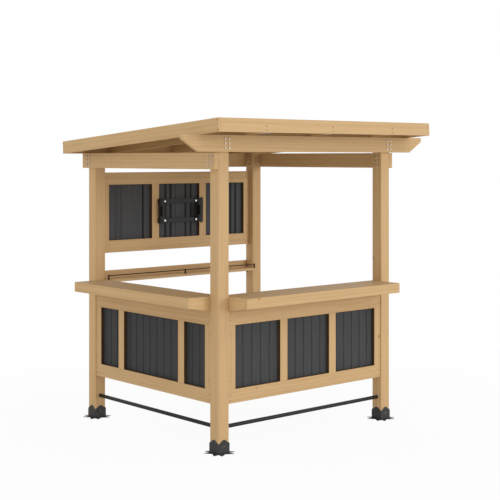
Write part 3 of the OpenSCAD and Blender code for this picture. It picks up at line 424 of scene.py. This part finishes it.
# %% Model the posts
POST, BAY_X, BAY_Y = 94, 1562, 1432
WIDE, DEEP = BAY_X + 2 * POST, BAY_Y + 2 * POST
FOOT_PLATE, FRONT_POST_TOP, REAR_POST_TOP = 3, 2200, 2096
for node, x, y, top in (("post_front_left", 0, 0, FRONT_POST_TOP),
                        ("post_front_right", WIDE - POST, 0, FRONT_POST_TOP),
                        ("post_rear_left", 0, DEEP - POST, REAR_POST_TOP),
                        ("post_rear_right", WIDE - POST, DEEP - POST, REAR_POST_TOP)):
    piece = new_piece()
    board(piece, (x, y, FOOT_PLATE), (x + POST, y + POST, top), Z, ease=5)
    finish_piece(piece, node + "_timber", [node], spruce)

# %% [markdown]
# ## Beams
# Four beams are bolted to the outer faces of the posts. The front beam runs far past the posts, and each of its
# ends is sawn off at a slant under a short upright nose. The end could be shaped by moving vertices, but a
# bisecting plane makes the saw cut itself in the plain board, and the bevel after it eases the new arrises too.

# %% Model the beams
BEAM, BEAM_H, FRONT_Z, SIDE_Z = 36, 118, 2100, 1978
OVERHANG, NOSE, SLANT = 340.5, 33, 140
drop = BEAM_H - NOSE
piece = new_piece()
board(piece, (-OVERHANG, -BEAM, FRONT_Z), (WIDE + OVERHANG, 0, FRONT_Z + BEAM_H), X, cuts=[
    ((-OVERHANG, 0, FRONT_Z + drop), (-drop, 0, -SLANT)),
    ((WIDE + OVERHANG, 0, FRONT_Z + drop), (drop, 0, -SLANT))])
finish_piece(piece, "front_beam_timber", ["front_beam"], spruce)
for node, low, high, along in (
        ("rear_beam", (-BEAM, DEEP, SIDE_Z), (WIDE + BEAM, DEEP + BEAM, SIDE_Z + BEAM_H), X),
        ("left_beam", (-BEAM, 0, SIDE_Z), (0, DEEP, SIDE_Z + BEAM_H), Y),
        ("right_beam", (WIDE, 0, SIDE_Z), (WIDE + BEAM, DEEP, SIDE_Z + BEAM_H), Y)):
    piece = new_piece()
    board(piece, low, high, along)
    finish_piece(piece, node + "_timber", [node], spruce)

# %% [markdown]
# ## Roof timbers
# The roof is one flat frame laid at a slope of about 4 degrees. Each board could be drawn at the slope, but every
# corner would then need its sine and cosine. So the frame is drawn flat, with y running down the slope, and one
# matrix tilts it. Rafters and side boards have shallow seats where they cross the beams: their side outline is a
# few vertices made into a face and extruded to the board's thickness.

# %% Measure the roof
FASCIA_H, FASCIA_T, RAFTER, RAFTER_H, PURLIN, PURLIN_H, PURLINS = 96, 19, 36, 60, 45, 20, 5
EAVE, REAR_EAVE, SIDE, SEAT = 246, 26.5, 199.5, 3
SLOPE = math.atan((FRONT_Z - SIDE_Z) / (DEEP + BEAM))
ROOF_Z = FRONT_Z + BEAM_H - SEAT
TILT = Matrix.Translation((0, 0, ROOF_Z)) @ Matrix.Rotation(-SLOPE, 4, "X")
REAR = (DEEP + BEAM) / math.cos(SLOPE) + REAR_EAVE
LEFT_IN, RIGHT_IN = FASCIA_T - SIDE, WIDE + SIDE - FASCIA_T
print(f"The roof falls {math.degrees(SLOPE):.2f} degrees over {REAR + EAVE:.0f} mm")


def down_slope(y, z):
    """A point of the upright frame, as y and z of the flat roof frame."""
    local = TILT.inverted() @ Vector((0, y, z))
    return local.y, local.z

# %% Helpers for sawn boards
NEARLY, SLIVER = 0.01, 0.05
print(f"Points within {NEARLY} mm count as level, and a seat is at least {SLIVER} mm deep")


def only_verts(geometry):
    """The vertices in what an extrusion made."""
    return [g for g in geometry if isinstance(g, bmesh.types.BMVert)]


def sawn_board(piece, x, thick, outline, ease=2, shortest=60):
    """A board on edge, sawn to a side outline of (y, z) points. Its long arrises are eased."""
    bm = bmesh.new()
    face = bm.faces.new([bm.verts.new((x, y, z)) for y, z in outline])
    grown = bmesh.ops.extrude_face_region(bm, geom=[face])["geom"]
    bmesh.ops.translate(bm, vec=(thick, 0, 0), verts=only_verts(grown))
    long_edges = [e for e in bm.edges
                  if abs(e.verts[0].co.x - e.verts[1].co.x) < NEARLY and e.calc_length() > shortest]
    bmesh.ops.bevel(bm, geom=long_edges, offset=ease, affect="EDGES", segments=2, profile=0.5, material=-1)
    keep_grain(bm, Y)
    gather(piece, bm)


def seated_board(piece, x, thick, y0, y1, tall, seats):
    """A board on edge whose underside is notched: each seat is a beam's front and rear y and its top."""
    outline = [(y0, 0)]
    for front, rear, top in seats:
        (ya, za), (yb, zb) = down_slope(front, top), down_slope(rear, top)
        outline += [(ya, 0), (ya, max(za, SLIVER)), (yb, max(zb, SLIVER)), (yb, 0)]
    sawn_board(piece, x, thick, outline + [(y1, 0), (y1, tall), (y0, tall)])

# %% Model the rafters and the boards round the roof
front_seat, rear_seat = (-BEAM, 0, FRONT_Z + BEAM_H), (DEEP, DEEP + BEAM, SIDE_Z + BEAM_H)
for node, share in (("left_rafter", 0.2), ("middle_rafter", 0.5), ("right_rafter", 0.8)):
    piece = new_piece()
    middle = (WIDE + 2 * SIDE) * share - SIDE
    seated_board(piece, middle - RAFTER / 2, RAFTER, FASCIA_T - EAVE, REAR - FASCIA_T, RAFTER_H,
                 [front_seat, rear_seat])
    finish_piece(piece, node + "_timber", [node], roof_spruce_painted_shade, TILT)
for node, x in (("left_fascia", -SIDE), ("right_fascia", WIDE + SIDE - FASCIA_T)):
    piece = new_piece()
    seated_board(piece, x, FASCIA_T, -EAVE, REAR, FASCIA_H, [front_seat])
    finish_piece(piece, node + "_board", [node], spruce, TILT)
for node, y in (("front_fascia", -EAVE), ("rear_fascia", REAR - FASCIA_T)):
    piece = new_piece()
    board(piece, (LEFT_IN, y, 0), (RIGHT_IN, y + FASCIA_T, FASCIA_H), X, ease=1.5)
    finish_piece(piece, node + "_board", [node], spruce, TILT)
piece = new_piece()
for i in range(PURLINS):
    y = FASCIA_T - EAVE + i * (REAR + EAVE - 2 * FASCIA_T - PURLIN) / (PURLINS - 1)
    board(piece, (LEFT_IN, y, RAFTER_H), (RIGHT_IN, y + PURLIN, RAFTER_H + PURLIN_H), X, ease=1.5)
finish_piece(piece, "purlin_battens", ["purlins"], roof_spruce_painted_shade, TILT)

# %% [markdown]
# ## Folded sheets
# Roof and panels are thin sheet folded to a profile. A plane could be cut and pushed into ribs, but a press brake
# works from a line. So the line is drawn as a row of points, a vertex bevel rounds its corners, an extrusion takes
# it along the sheet, and solidify gives the metal its thickness. A third number at each point says how dark the
# coating is painted there, as painted shade in the folds of grooves or as a thin dark line, and is kept in an
# attribute named fold.

# %% Helper for folded sheets
METAL = 0.8


def folded_sheet(piece, line, run, radius, turn):
    """A profile of (x, y, shade) points, swept along z for run millimetres and then laid by the matrix turn."""
    bm = bmesh.new()
    points = [bm.verts.new((x, y, 0)) for x, y, _ in line]
    for a, b in zip(points, points[1:]):
        bm.edges.new((a, b))
    bmesh.ops.bevel(bm, geom=points[1:-1], offset=radius, affect="VERTICES", segments=2, profile=0.5, material=-1)
    grown = bmesh.ops.extrude_edge_only(bm, edges=bm.edges)["geom"]
    bmesh.ops.translate(bm, vec=(0, 0, run), verts=only_verts(grown))
    bmesh.ops.recalc_face_normals(bm, faces=bm.faces)
    bmesh.ops.solidify(bm, geom=bm.faces, thickness=METAL)
    # The fold attribute holds how much painted shade, or thin dark line, the coating gets at each vertex
    layer = bm.verts.layers.float_vector.new("fold")
    for v in bm.verts:
        v[layer] = (interp(v.co.x, [p[0] for p in line], [p[2] for p in line]), 0, 0)
    bmesh.ops.transform(bm, matrix=turn, verts=bm.verts)
    gather(piece, bm)


print(f"Sheets are {METAL} mm thick")

# %% [markdown]
# ### Roof sheets
# Three ribbed sheets lie side by side on the purlins. The ribs could be an array of one rib, but a rib is only four
# points of the line, so a loop writes them, evenly over the sheet's width.

# %% Roll the roof sheets
RIB_H, RIBS, RIB_FOOT, RIB_TOP, GAP = 12, 6, 34, 18, 0.5
sheet_w = (RIGHT_IN - LEFT_IN - 4 * GAP) / 3
run = REAR + EAVE - 2 * FASCIA_T - 2 * GAP
print(f"Roof sheets of {sheet_w:.1f} x {run:.1f} mm")
for i, node in enumerate(("left_roof_sheet", "middle_roof_sheet", "right_roof_sheet")):
    line = [(0, 0, 0)]
    for rib in range(RIBS):
        c = (rib + 0.5) * sheet_w / RIBS
        line += [(c - RIB_FOOT / 2, 0, 0), (c - RIB_TOP / 2, RIB_H, 0),
                 (c + RIB_TOP / 2, RIB_H, 0), (c + RIB_FOOT / 2, 0, 0)]
    line.append((sheet_w, 0, 0))
    foot = (LEFT_IN + GAP + i * (sheet_w + GAP), FASCIA_T - EAVE + GAP + run, RAFTER_H + PURLIN_H + METAL)
    lay = Matrix.Translation(foot) @ Matrix.Rotation(math.radians(90), 4, "X")
    piece = new_piece("fold")
    folded_sheet(piece, line, run, radius=1.5, turn=lay)
    finish_piece(piece, node + "_steel", [node], roof_steel, TILT)

# %% [markdown]
# ## Panelled walls
# The two lower walls and the display wall are one kind of frame: two long rails, four uprights between them, and
# three ribbed steel panels let into their sides. Each could be modelled in its place, but drawn with x along the
# bay and y inwards from the face with the deep openings they are all alike. So one function makes them, and a
# matrix puts each in its place. The lower walls face outwards, and their narrow grooves run on evenly from panel
# to panel. The display wall faces inwards and has pairs of wide grooves with painted shade in their folds, and a
# thin dark line in its middle panel. Thin dark strips in the openings' reveals are painted shade.

# %% Measure the walls
WALL, RAIL_H, STILE, MULLION, NARROW, RECESS = 38, 98, 68, 72, 238, 9
TOP, SLAB, SKIRT_H, WALL_GAP, WALL_Z, DISPLAY_DROP = 1090, 18, 56, 34, 338, 38
WALL_H = TOP - SLAB - SKIRT_H - WALL_GAP - WALL_Z
OPEN_H = WALL_H - 2 * RAIL_H
DISPLAY_Z = SIDE_Z - DISPLAY_DROP - WALL_H
print(f"Walls are {WALL_H} mm high with openings of {OPEN_H} mm")

# %% Draw the grooves
PITCH, GROOVE, WIDE_GROOVE, FOLD, FLANK, LAND = 85, 16, 61, 6, 4, 6
FLOOR = FOLD - METAL
MOST_GROOVES = 20


def narrow_grooves(first, sheet):
    """The points of evenly pitched grooves in a sheet whose left edge is first along the wall."""
    line = []
    for number in range(MOST_GROOVES):
        c = STILE + PITCH * number - first
        if GROOVE / 2 + LAND < c <= sheet - GROOVE / 2 - LAND:
            left, right = c - GROOVE / 2, c + GROOVE / 2
            line += [(left, 0, 0), (left + FLANK, FLOOR, 0), (right - FLANK, FLOOR, 0), (right, 0, 0)]
    return line


# Millimetres from an edge or flank over which the painted shade of a fold comes or goes, and the thin dark line's
# place and width
BEFORE, OVER_FLOOR, BEYOND, CREASE = (10, 3), (12, 22), (8, 16), 3
DARK_LINE, DARK_LINE_EDGE, DARK_LINE_HALF = 26, 4, 1.5
# Painted shade beside the left and right flank of each wide groove, weaker in the first panel, which gets more
# light, and the darkness of the thin dark line
FIRST_SHADES, OTHER_SHADES, DARK_LINE_SHADE = ((0.25, 0), (0, 0.9)), ((1, 0.9), (1, 0.9)), 0.9


def wide_grooves(sheet, opening, shades, dark_line):
    """The points of a pair of wide grooves, each with the painted shade of its left and its right flank, and a thin
    dark line on request.
    """
    line = []
    for c, (a, b) in zip((sheet / 2 - opening / 4, sheet / 2 + opening / 4), shades):
        left, right = c - WIDE_GROOVE / 2, c + WIDE_GROOVE / 2
        line += [(left - BEFORE[0], 0, 0), (left - BEFORE[1], 0, a), (left, 0, a), (left + FLANK, FLOOR, a),
                 (left + FLANK + OVER_FLOOR[0], FLOOR, a), (left + FLANK + OVER_FLOOR[1], FLOOR, 0),
                 (right - FLANK - CREASE, FLOOR, 0), (right - FLANK, FLOOR, b), (right, 0, b),
                 (right + BEYOND[0], 0, b), (right + BEYOND[1], 0, 0)]
        if dark_line and c < sheet / 2:
            s = sheet / 2 - DARK_LINE
            line += [(s - DARK_LINE_EDGE, 0, 0), (s - DARK_LINE_HALF, 0, DARK_LINE_SHADE),
                     (s + DARK_LINE_HALF, 0, DARK_LINE_SHADE), (s + DARK_LINE_EDGE, 0, 0)]
    return line


print(f"Grooves of {GROOVE} mm every {PITCH} mm, or pairs of {WIDE_GROOVE} mm, {FOLD} mm deep")

# %% Build a wall
PANEL_AT, REACH = 24, 5.5
SHADE_STRIP_OUT, SHADE_STRIP_IN = 0.2, 1.7
print(f"Panels lie {PANEL_AT} mm in and reach {REACH} mm under the frame")


def paint_reveal_shade(piece, left, right, bottom, top):
    """Four thin dark strips round an opening, painted shade in its reveals, each SHADE_STRIP_OUT to SHADE_STRIP_IN
    from its edge.
    """
    for x0, x1, z0, z1 in (
            (left + SHADE_STRIP_OUT, left + SHADE_STRIP_IN, bottom + SHADE_STRIP_OUT, top - SHADE_STRIP_OUT),
            (right - SHADE_STRIP_IN, right - SHADE_STRIP_OUT, bottom + SHADE_STRIP_OUT, top - SHADE_STRIP_OUT),
            (left + SHADE_STRIP_IN, right - SHADE_STRIP_IN, bottom + SHADE_STRIP_OUT, bottom + SHADE_STRIP_IN),
            (left + SHADE_STRIP_IN, right - SHADE_STRIP_IN, top - SHADE_STRIP_IN, top - SHADE_STRIP_OUT)):
        board(piece, (x0, 0, z0), (x1, PANEL_AT, z1), X, ease=0.3)


def wall(name, length, openings, move, paired=False):
    """A wall whose openings have these widths, with its timbers, panels and strips of painted reveal shade as four
    pieces.
    """
    starts = [STILE]
    for opening in openings[:-1]:
        starts.append(starts[-1] + opening + MULLION)
    rails, uprights, panels, reveal_shade_strips = new_piece(), new_piece(), new_piece("fold"), new_piece()
    for z in (0, WALL_H - RAIL_H):
        board(rails, (0, 0, z), (length, WALL, z + RAIL_H), X, ease=1.6)
    for a, b in [(0, STILE), *[(s - MULLION, s) for s in starts[1:]], (length - STILE, length)]:
        board(uprights, (a, 0, RAIL_H), (b, WALL, RAIL_H + OPEN_H), Z, ease=1.6)
    for i, (start, opening) in enumerate(zip(starts, openings)):
        first, sheet = start - REACH, opening + 2 * REACH
        if paired:
            grooves = wide_grooves(sheet, opening, OTHER_SHADES if i else FIRST_SHADES, dark_line=i == 1)
        else:
            grooves = narrow_grooves(first, sheet)
        stand = Matrix.Translation((first, PANEL_AT, RAIL_H - REACH))
        line = [(0, 0, 0), *grooves, (sheet, 0, 0)]
        folded_sheet(panels, line, OPEN_H + 2 * REACH, radius=1.0, turn=stand)
        # Painted shade in the reveals of the opening
        paint_reveal_shade(reveal_shade_strips, start, start + opening, RAIL_H, RAIL_H + OPEN_H)
    finish_piece(rails, name + "_rail_boards", [name + "_rails"], spruce, move)
    finish_piece(uprights, name + "_upright_boards", [name + "_uprights"], spruce, move)
    finish_piece(panels, name + "_ribbed_panels", [name + "_panels"], panel_steel[name], move)
    finish_piece(reveal_shade_strips, name + "_painted_reveal_shade_strips", [name + "_channels"], painted_reveal_shade, move)

# %% Model the three walls
SWAP = Matrix(((0, 1, 0, 0), (1, 0, 0, 0), (0, 0, 1, 0), (0, 0, 0, 1)))
front_open = (BAY_X - 2 * STILE - 2 * MULLION) / 3
left_open = BAY_Y - 2 * STILE - 2 * MULLION - 2 * NARROW
wall("front_wall", BAY_X, [front_open] * 3, Matrix.Translation((POST, RECESS, WALL_Z)))
wall("left_wall", BAY_Y, [NARROW, left_open, NARROW], Matrix.Translation((RECESS, POST, WALL_Z)) @ SWAP)
WALL_FACE_Y = DEEP - RECESS - WALL
wall("display_wall", BAY_X, [front_open] * 3, Matrix.Translation((POST, WALL_FACE_Y, DISPLAY_Z)), paired=True)

# %% [markdown]
# ## Counters
# A counter is four boards on a frame of skirts, with battens that tie the boards under the overhang. The outer
# skirt covers the ends of the end boards, which stand on the wall frame and taper outwards like a bracket, and a
# bearer carries the counter on the wall. A thick slab could stand for all this, but guests sit with their knees
# under it, so its underside is made too. Both counters come from one function, drawn with y growing outwards.

# %% Model the counters
DEPTH, SKIRT, FIT, BUTT = 287, 25, 0.5, 0.3
SLABS, JOINT, BATTENS = 4, 2, 3
WALL_TOP, WALL_OUT = WALL_Z + WALL_H, POST - RECESS


def counter(name, bay, move):
    """The slab and the frame of a counter in a bay. Gives back the corners of the bearer under it."""
    slab, skirts = new_piece(), new_piece()
    length, width = bay - 2 * FIT, (DEPTH - (SLABS - 1) * JOINT) / SLABS
    for i in range(SLABS):
        y = i * (width + JOINT)
        board(slab, (FIT, y, TOP - SLAB), (FIT + length, y + width, TOP), X, ease=1.2)
    z = TOP - SLAB - SKIRT_H
    for y in (0, DEPTH - SKIRT):
        board(skirts, (FIT, y, z), (FIT + length, y + SKIRT, z + SKIRT_H), X, ease=1.0)
    near, far = SKIRT + BUTT, DEPTH - SKIRT - BUTT
    bracket = [(near, z), (WALL_OUT - WALL, z), (WALL_OUT - WALL, WALL_TOP), (WALL_OUT, WALL_TOP), (far, z),
               (far, z + SKIRT_H), (near, z + SKIRT_H)]
    for x in (FIT, FIT + length - SKIRT):
        sawn_board(skirts, x, SKIRT, bracket, ease=1.0, shortest=30)
    for i in range(1, BATTENS + 1):
        x = FIT + i * length / (BATTENS + 1)
        board(skirts, (x - SKIRT / 2, WALL_OUT + BUTT, z), (x + SKIRT / 2, far, z + SKIRT_H), Y, ease=1.0)
    finish_piece(slab, name + "_slab_boards", [name + "_boards"], worktop_spruce, move)
    finish_piece(skirts, name + "_skirt_boards", [name + "_frame"], spruce, move)
    inset = FIT + SKIRT + BUTT
    return (inset, WALL_OUT - WALL, WALL_TOP), (bay - inset, WALL_OUT, TOP - SLAB)


AT_FRONT = Matrix.Translation((POST, POST, 0)) @ Matrix.Diagonal((1, -1, 1, 1))
AT_LEFT = Matrix.Translation((POST, POST, 0)) @ Matrix.Rotation(math.radians(90), 4, "Z")
bearers = new_piece()
for name, bay, move, along in (("front_counter", BAY_X, AT_FRONT, X), ("left_counter", BAY_Y, AT_LEFT, Y)):
    corners = [move @ Vector(end) for end in counter(name, bay, move)]
    low, high = [tuple(pick(a, b) for a, b in zip(*corners)) for pick in (min, max)]
    board(bearers, low, high, along)
finish_piece(bearers, "counter_bearer_boards", ["counter_bearers"], spruce)

# %% [markdown]
# ## Rear shelf
# The shelf is one board between the rear posts, level with the counters, and an upstand behind it keeps bottles
# from falling off. The two could be one L-shaped solid, but they are two boards, and the joint between them shows.

# %% Model the rear shelf
SHELF, SHELF_OUT, UPSTAND, UPSTAND_H = 22, 40, 19, 61
SHELF_Y = DEEP - POST - SHELF_OUT
piece = new_piece()
board(piece, (POST, SHELF_Y, TOP - SHELF), (WIDE - POST, DEEP, TOP), X)
finish_piece(piece, "rear_shelf_board", ["rear_shelf"], spruce)
piece = new_piece()
board(piece, (POST, DEEP - UPSTAND, TOP), (WIDE - POST, DEEP, TOP + UPSTAND_H), X, ease=2)
finish_piece(piece, "rear_shelf_upstand", ["rear_shelf_back"], spruce)

# %% [markdown]
# ## Carried-over steel parts
# The small steel parts have the right shape in the CAD: walls, slots and holes are all there. They could be
# modelled again, but nothing would be gained by it. Sheet steel never has a razor edge, though, so a copy of the
# node is welded together, its flat faces are joined, and its sharp edges are bevelled by half a millimetre to
# catch the light.

# %% Ease the edges of a CAD part
WELD, FLAT, SHARP, EDGE_EASE = 0.00002, 1, 35, 0.5


def eased_copy(node, name, material, body="gazebo"):
    """A copy of a CAD node with its sharp edges eased."""
    bm = bmesh.new()
    bm.from_mesh(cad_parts[node].data)
    bmesh.ops.remove_doubles(bm, verts=bm.verts, dist=WELD)
    bmesh.ops.dissolve_limit(bm, angle_limit=math.radians(FLAT), verts=bm.verts, edges=bm.edges)
    sharp = [e for e in bm.edges if len(e.link_faces) == 2 and e.calc_face_angle(0) > math.radians(SHARP)]
    bmesh.ops.bevel(bm, geom=sharp, offset=EDGE_EASE / 1000, affect="EDGES", segments=2, profile=0.5,
                    material=-1, clamp_overlap=True)
    bmesh.ops.triangulate(bm, faces=[f for f in bm.faces if len(f.verts) > 4])
    bmesh.ops.transform(bm, matrix=PLACE.inverted(), verts=bm.verts)
    finish_piece(bm, name, [node], material, body=body)


eased_copy("post_feet", "post_feet_steel", foot_coat)
eased_copy("rod_stands", "rod_stands_steel", rod_steel)
for node in ("shelf_angles", "bracket_rails", "bracket_side_plates"):
    eased_copy(node, node + "_steel", powder_coat)
for side in ("left", "right"):
    eased_copy(side + "_carriage", side + "_carriage_steel", powder_coat, side + "_carriage")
    eased_copy(side + "_display_arm", side + "_display_arm_steel", powder_coat, side + "_arm")

# %% [markdown]
# ## Tubes and rods
# The foot rails are steel tubes whose ends sit in bores in the posts, and the guard rod is a bar held in three
# stands. A curve with a round bevel could draw them, but they are straight and their ends are square, so a
# cylinder with eased rims does it. The sides are shaded smooth and the rims stay sharp.

# %% Model the foot rails and the guard rod
RAIL_Z, RAIL_D, RAIL_IN = 175, 28, 20
ROD_D, ROD_Z, ROD_GAP = 8, 31, 4
FACETS, RIM_EASE, SMOOTH_BELOW = 48, 1, 40
ALONG_X, ALONG_Y = Matrix.Rotation(math.radians(90), 4, "Y"), Matrix.Rotation(math.radians(-90), 4, "X")


def rod(name, node, start, turn, length, diameter, coat=powder_coat):
    """A round bar from its start, in the way that the matrix turn points its z axis."""
    bm = bmesh.new()
    radius = diameter / 2
    bmesh.ops.create_cone(bm, segments=FACETS, radius1=radius, radius2=radius, depth=length, cap_ends=True)
    rims = [e for e in bm.edges if abs(e.verts[0].co.z - e.verts[1].co.z) < NEARLY]
    bmesh.ops.bevel(bm, geom=rims, offset=RIM_EASE, affect="EDGES", segments=2, profile=0.5, material=-1)
    bmesh.ops.translate(bm, vec=(0, 0, length / 2), verts=bm.verts)
    thing = finish_piece(bm, name, [node], coat, Matrix.Translation(start) @ turn, smooth=True)
    thing.data.set_sharp_from_angle(angle=math.radians(SMOOTH_BELOW))


rod("front_foot_rail_tube", "front_foot_rail", (POST - RAIL_IN, POST / 2, RAIL_Z), ALONG_X,
    BAY_X + 2 * RAIL_IN, RAIL_D)
rod("left_foot_rail_tube", "left_foot_rail", (POST / 2, POST - RAIL_IN, RAIL_Z), ALONG_Y,
    BAY_Y + 2 * RAIL_IN, RAIL_D)
rod("guard_rod_bar", "guard_rod", (POST + ROD_GAP, SHELF_Y + ROD_D, TOP + ROD_Z), ALONG_X,
    BAY_X - 2 * ROD_GAP, ROD_D, rod_steel)

# %% [markdown]
# ## Bolts of the bracket
# Each carriage is clamped to the two rails by hexagon bolts on washers, bright against the black bracket. The tilt
# of each arm turns on a black bolt across the carriage's ears and is locked by a thinner one below it, which moves
# with the arm in a slot. A bolt could be turned from one outline, but its head is a hexagon. So every bolt is a
# stack of discs with rounded edges, the hexagons being discs with six sides.

# %% Helpers for bolts
ROUND, HEXAGON, SOFTEN = 32, 6, 0.2
EAR, WASHER, SHANK_OUT = 13.15, 0.6, 0.5
WASHER_SIZE, HEXAGON_SIZE, HEAD_LESS = 0.85, 0.78, 0.75


def stacked_discs(piece, discs, move):
    """Discs of (sides, radius, thickness, middle) along z."""
    for sides, radius, thick, middle in discs:
        bm = bmesh.new()
        bmesh.ops.create_cone(bm, segments=sides, radius1=radius, radius2=radius, depth=thick, cap_ends=True)
        bmesh.ops.bevel(bm, geom=bm.edges, offset=SOFTEN, affect="EDGES", segments=2, profile=0.5, material=-1)
        bmesh.ops.transform(bm, matrix=move @ Matrix.Translation((0, 0, middle)), verts=bm.verts)
        bm.verts.layers.float_vector.new("grain")
        gather(piece, bm)


def cross_bolt(name, x, z, diameter, body):
    """A bolt along x through both ears of a carriage, with a washer and a hexagon at each end."""
    head = diameter / 2 - HEAD_LESS
    discs = [(ROUND, diameter / 2, 2 * (EAR + SHANK_OUT), 0)]
    for end in (-1, 1):
        discs += [(ROUND, diameter * WASHER_SIZE, WASHER, end * (EAR + WASHER / 2)),
                  (HEXAGON, diameter * HEXAGON_SIZE, head, end * (EAR + WASHER + head / 2))]
    piece = new_piece()
    stacked_discs(piece, discs, Matrix.Translation((x, PIVOT_Y, z)) @ Matrix.Rotation(math.radians(90), 4, "Y"))
    finish_piece(piece, name + "_steel", [name], powder_coat, body=body)


print(f"The cross bolts are {2 * (EAR + WASHER):.1f} mm long between their heads")

# %% Model the bolts
BRACKET_Z, CARRIAGE_X, CARRIAGE_Y, CLAMP_Z = 1616, 165, WALL_FACE_Y - 14.5, 80
ARM_X, PIVOT_Y, PIVOT_D, LOCK_D, LOCK_DROP = 200, WALL_FACE_Y - 33, 8, 6, 32
CLAMP_BOLT = [(ROUND, 8.5, 1.6, 0.8), (HEXAGON, 7.5, 4.2, 3.7)]
for side, out in (("left", -1), ("right", 1)):
    piece = new_piece()
    for z in (BRACKET_Z - CLAMP_Z, BRACKET_Z + CLAMP_Z):
        place = Matrix.Translation((WIDE / 2 + out * CARRIAGE_X, CARRIAGE_Y, z))
        stacked_discs(piece, CLAMP_BOLT, place @ Matrix.Rotation(math.radians(90), 4, "X"))
    finish_piece(piece, side + "_clamp_bolts", [], zinc, body=side + "_carriage")
    cross_bolt(side + "_pivot_bolt", WIDE / 2 + out * ARM_X, BRACKET_Z, PIVOT_D, side + "_carriage")
    cross_bolt(side + "_lock_bolt", WIDE / 2 + out * ARM_X, BRACKET_Z - LOCK_DROP, LOCK_D, side + "_arm")

# %% [markdown]
# ## Fasteners
# The bolts and nuts of the beams and all the screws are small, a pixel or two wide from the camera. New heads
# could be modelled for them, but their CAD shapes already have heads and washers. So they only change material:
# dull zinc for the bolts and brown zinc for the nuts, both with the timber's brown painted in as a reflection, and
# bronze and black for the screws.

# %% Finish the fasteners
def refinish(material, *nodes):
    """Gives CAD nodes that stay as they are another material."""
    for node in nodes:
        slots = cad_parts[node].data.materials
        slots.clear()
        slots.append(material)
        print(f"{node}: {material.name}")


refinish(dull_zinc, "beam_bolts")
refinish(nut_zinc, "beam_nuts")
refinish(screw_steel, "fascia_screws", "wall_screws")
refinish(powder_coat, "roof_screws", "bracket_screws")

# %% [markdown]
# ## Floor
# The gazebo stands on a plain white floor that melts into a white background. A shadow catcher could do this, but
# a mix of two shaders keeps a hint of shadow and works everywhere. One is matt near-white, the other glows plain
# white for camera rays: 94 % of it near the object and all of it from 4.5 m on, which hides the floor's edge.

# %% Set up the floor
HALF_SIDE, NEAR, FAR, NEAR_SHARE = 30, 1.5, 4.5, 0.94
bm = bmesh.new()
bmesh.ops.create_grid(bm, x_segments=1, y_segments=1, size=HALF_SIDE)
mesh = bpy.data.meshes.new("floor")
bm.to_mesh(mesh)
bm.free()
floor = bpy.data.objects.new("floor", mesh)
bpy.context.scene.collection.objects.link(floor)
white = bpy.data.materials.new("white_floor")
white.use_nodes = True
tree = white.node_tree
tree.nodes.clear()
matt = add(tree, "BsdfDiffuse", {"Color": tone("FAF9F7")})
plain = add(tree, "Emission", {"Color": (1, 1, 1, 1), "Strength": 1.0})
ray = add(tree, "LightPath")
place = add(tree, "TexCoord").outputs["Object"]
away = add(tree, "VectorMath", {0: place}, operation="LENGTH").outputs["Value"]
cover = add(tree, "MapRange", {"Value": away, "From Min": NEAR, "From Max": FAR, "To Min": NEAR_SHARE,
                               "To Max": 1.0}, interpolation_type="SMOOTHSTEP").outputs[0]
share = add(tree, "Math", {0: ray.outputs["Is Camera Ray"], 1: cover}, operation="MULTIPLY").outputs[0]
mixed = add(tree, "MixShader", {0: share, 1: matt.outputs[0], 2: plain.outputs[0]})
add(tree, "OutputMaterial", {"Surface": mixed.outputs[0]})
mesh.materials.append(white)
print(f"Floor: {2 * HALF_SIDE} m square, plain white from {FAR} m on")

# %% [markdown]
# ## Light
# The picture was lit like a studio shot: soft, with the front face brightest and the left side a little darker.
# Area lamps could be placed round the gazebo, but how bright they look depends on their distance. Far lamps with a
# wide disc shine evenly on every piece, and their soft shadows do for softboxes. The key light stands low in
# front and to the right, so that it reaches under the roof, a weaker one stands high, a third fills the left side,
# and a grey world fills the rest. The world is white only where the camera sees it or a surface mirrors it.

# %% Set up the world
FILL, SEEN = 0.68, 1.0
world = bpy.data.worlds.new("studio")
bpy.context.scene.world = world
world.use_nodes = True
tree = world.node_tree
tree.nodes.clear()
ray = add(tree, "LightPath")
seen = ray.outputs["Is Camera Ray"]
for other in ("Is Glossy Ray", "Is Transmission Ray"):
    seen = add(tree, "Math", {0: seen, 1: ray.outputs[other]}, operation="MAXIMUM").outputs[0]
strength = add(tree, "MapRange", {"Value": seen, "To Min": FILL, "To Max": SEEN}).outputs[0]
sky = add(tree, "Background", {"Color": (1, 1, 1, 1), "Strength": strength})
add(tree, "OutputWorld", {"Surface": sky.outputs[0]})
print(f"World: {FILL} as light, {SEEN} where it is seen")

# %% Set up the lamps
def soft_light(name, azimuth, elevation, width, level):
    """A broad far light: it comes from this direction in degrees, fills width degrees of the sky, and at level 1
    renders a colour as written on a face turned towards it."""
    data = bpy.data.lights.new(name, "SUN")
    data.angle, data.energy = math.radians(width), level * math.pi
    thing = bpy.data.objects.new(name, data)
    side, up = math.radians(azimuth), math.radians(elevation)
    to_lamp = Vector((math.sin(side) * math.cos(up), -math.cos(side) * math.cos(up), math.sin(up)))
    thing.rotation_euler = (-to_lamp).to_track_quat("-Z", "Y").to_euler()
    bpy.context.scene.collection.objects.link(thing)
    print(f"{name}: {azimuth} degrees round, {elevation} degrees up, level {level}")


soft_light("front_softbox", azimuth=28, elevation=9, width=22, level=0.22)
soft_light("high_softbox", azimuth=20, elevation=48, width=30, level=0.08)
soft_light("left_softbox", azimuth=-86, elevation=6, width=24, level=0.07)

# %% [markdown]
# ## Boards made
# A piece that sticks out of the CAD's box would be wrong, and that could be judged by eye from each side. The last
# cell only counts the boards that were made.

# %% Count the boards
print("Boards made:", next(board_numbers) - 1)
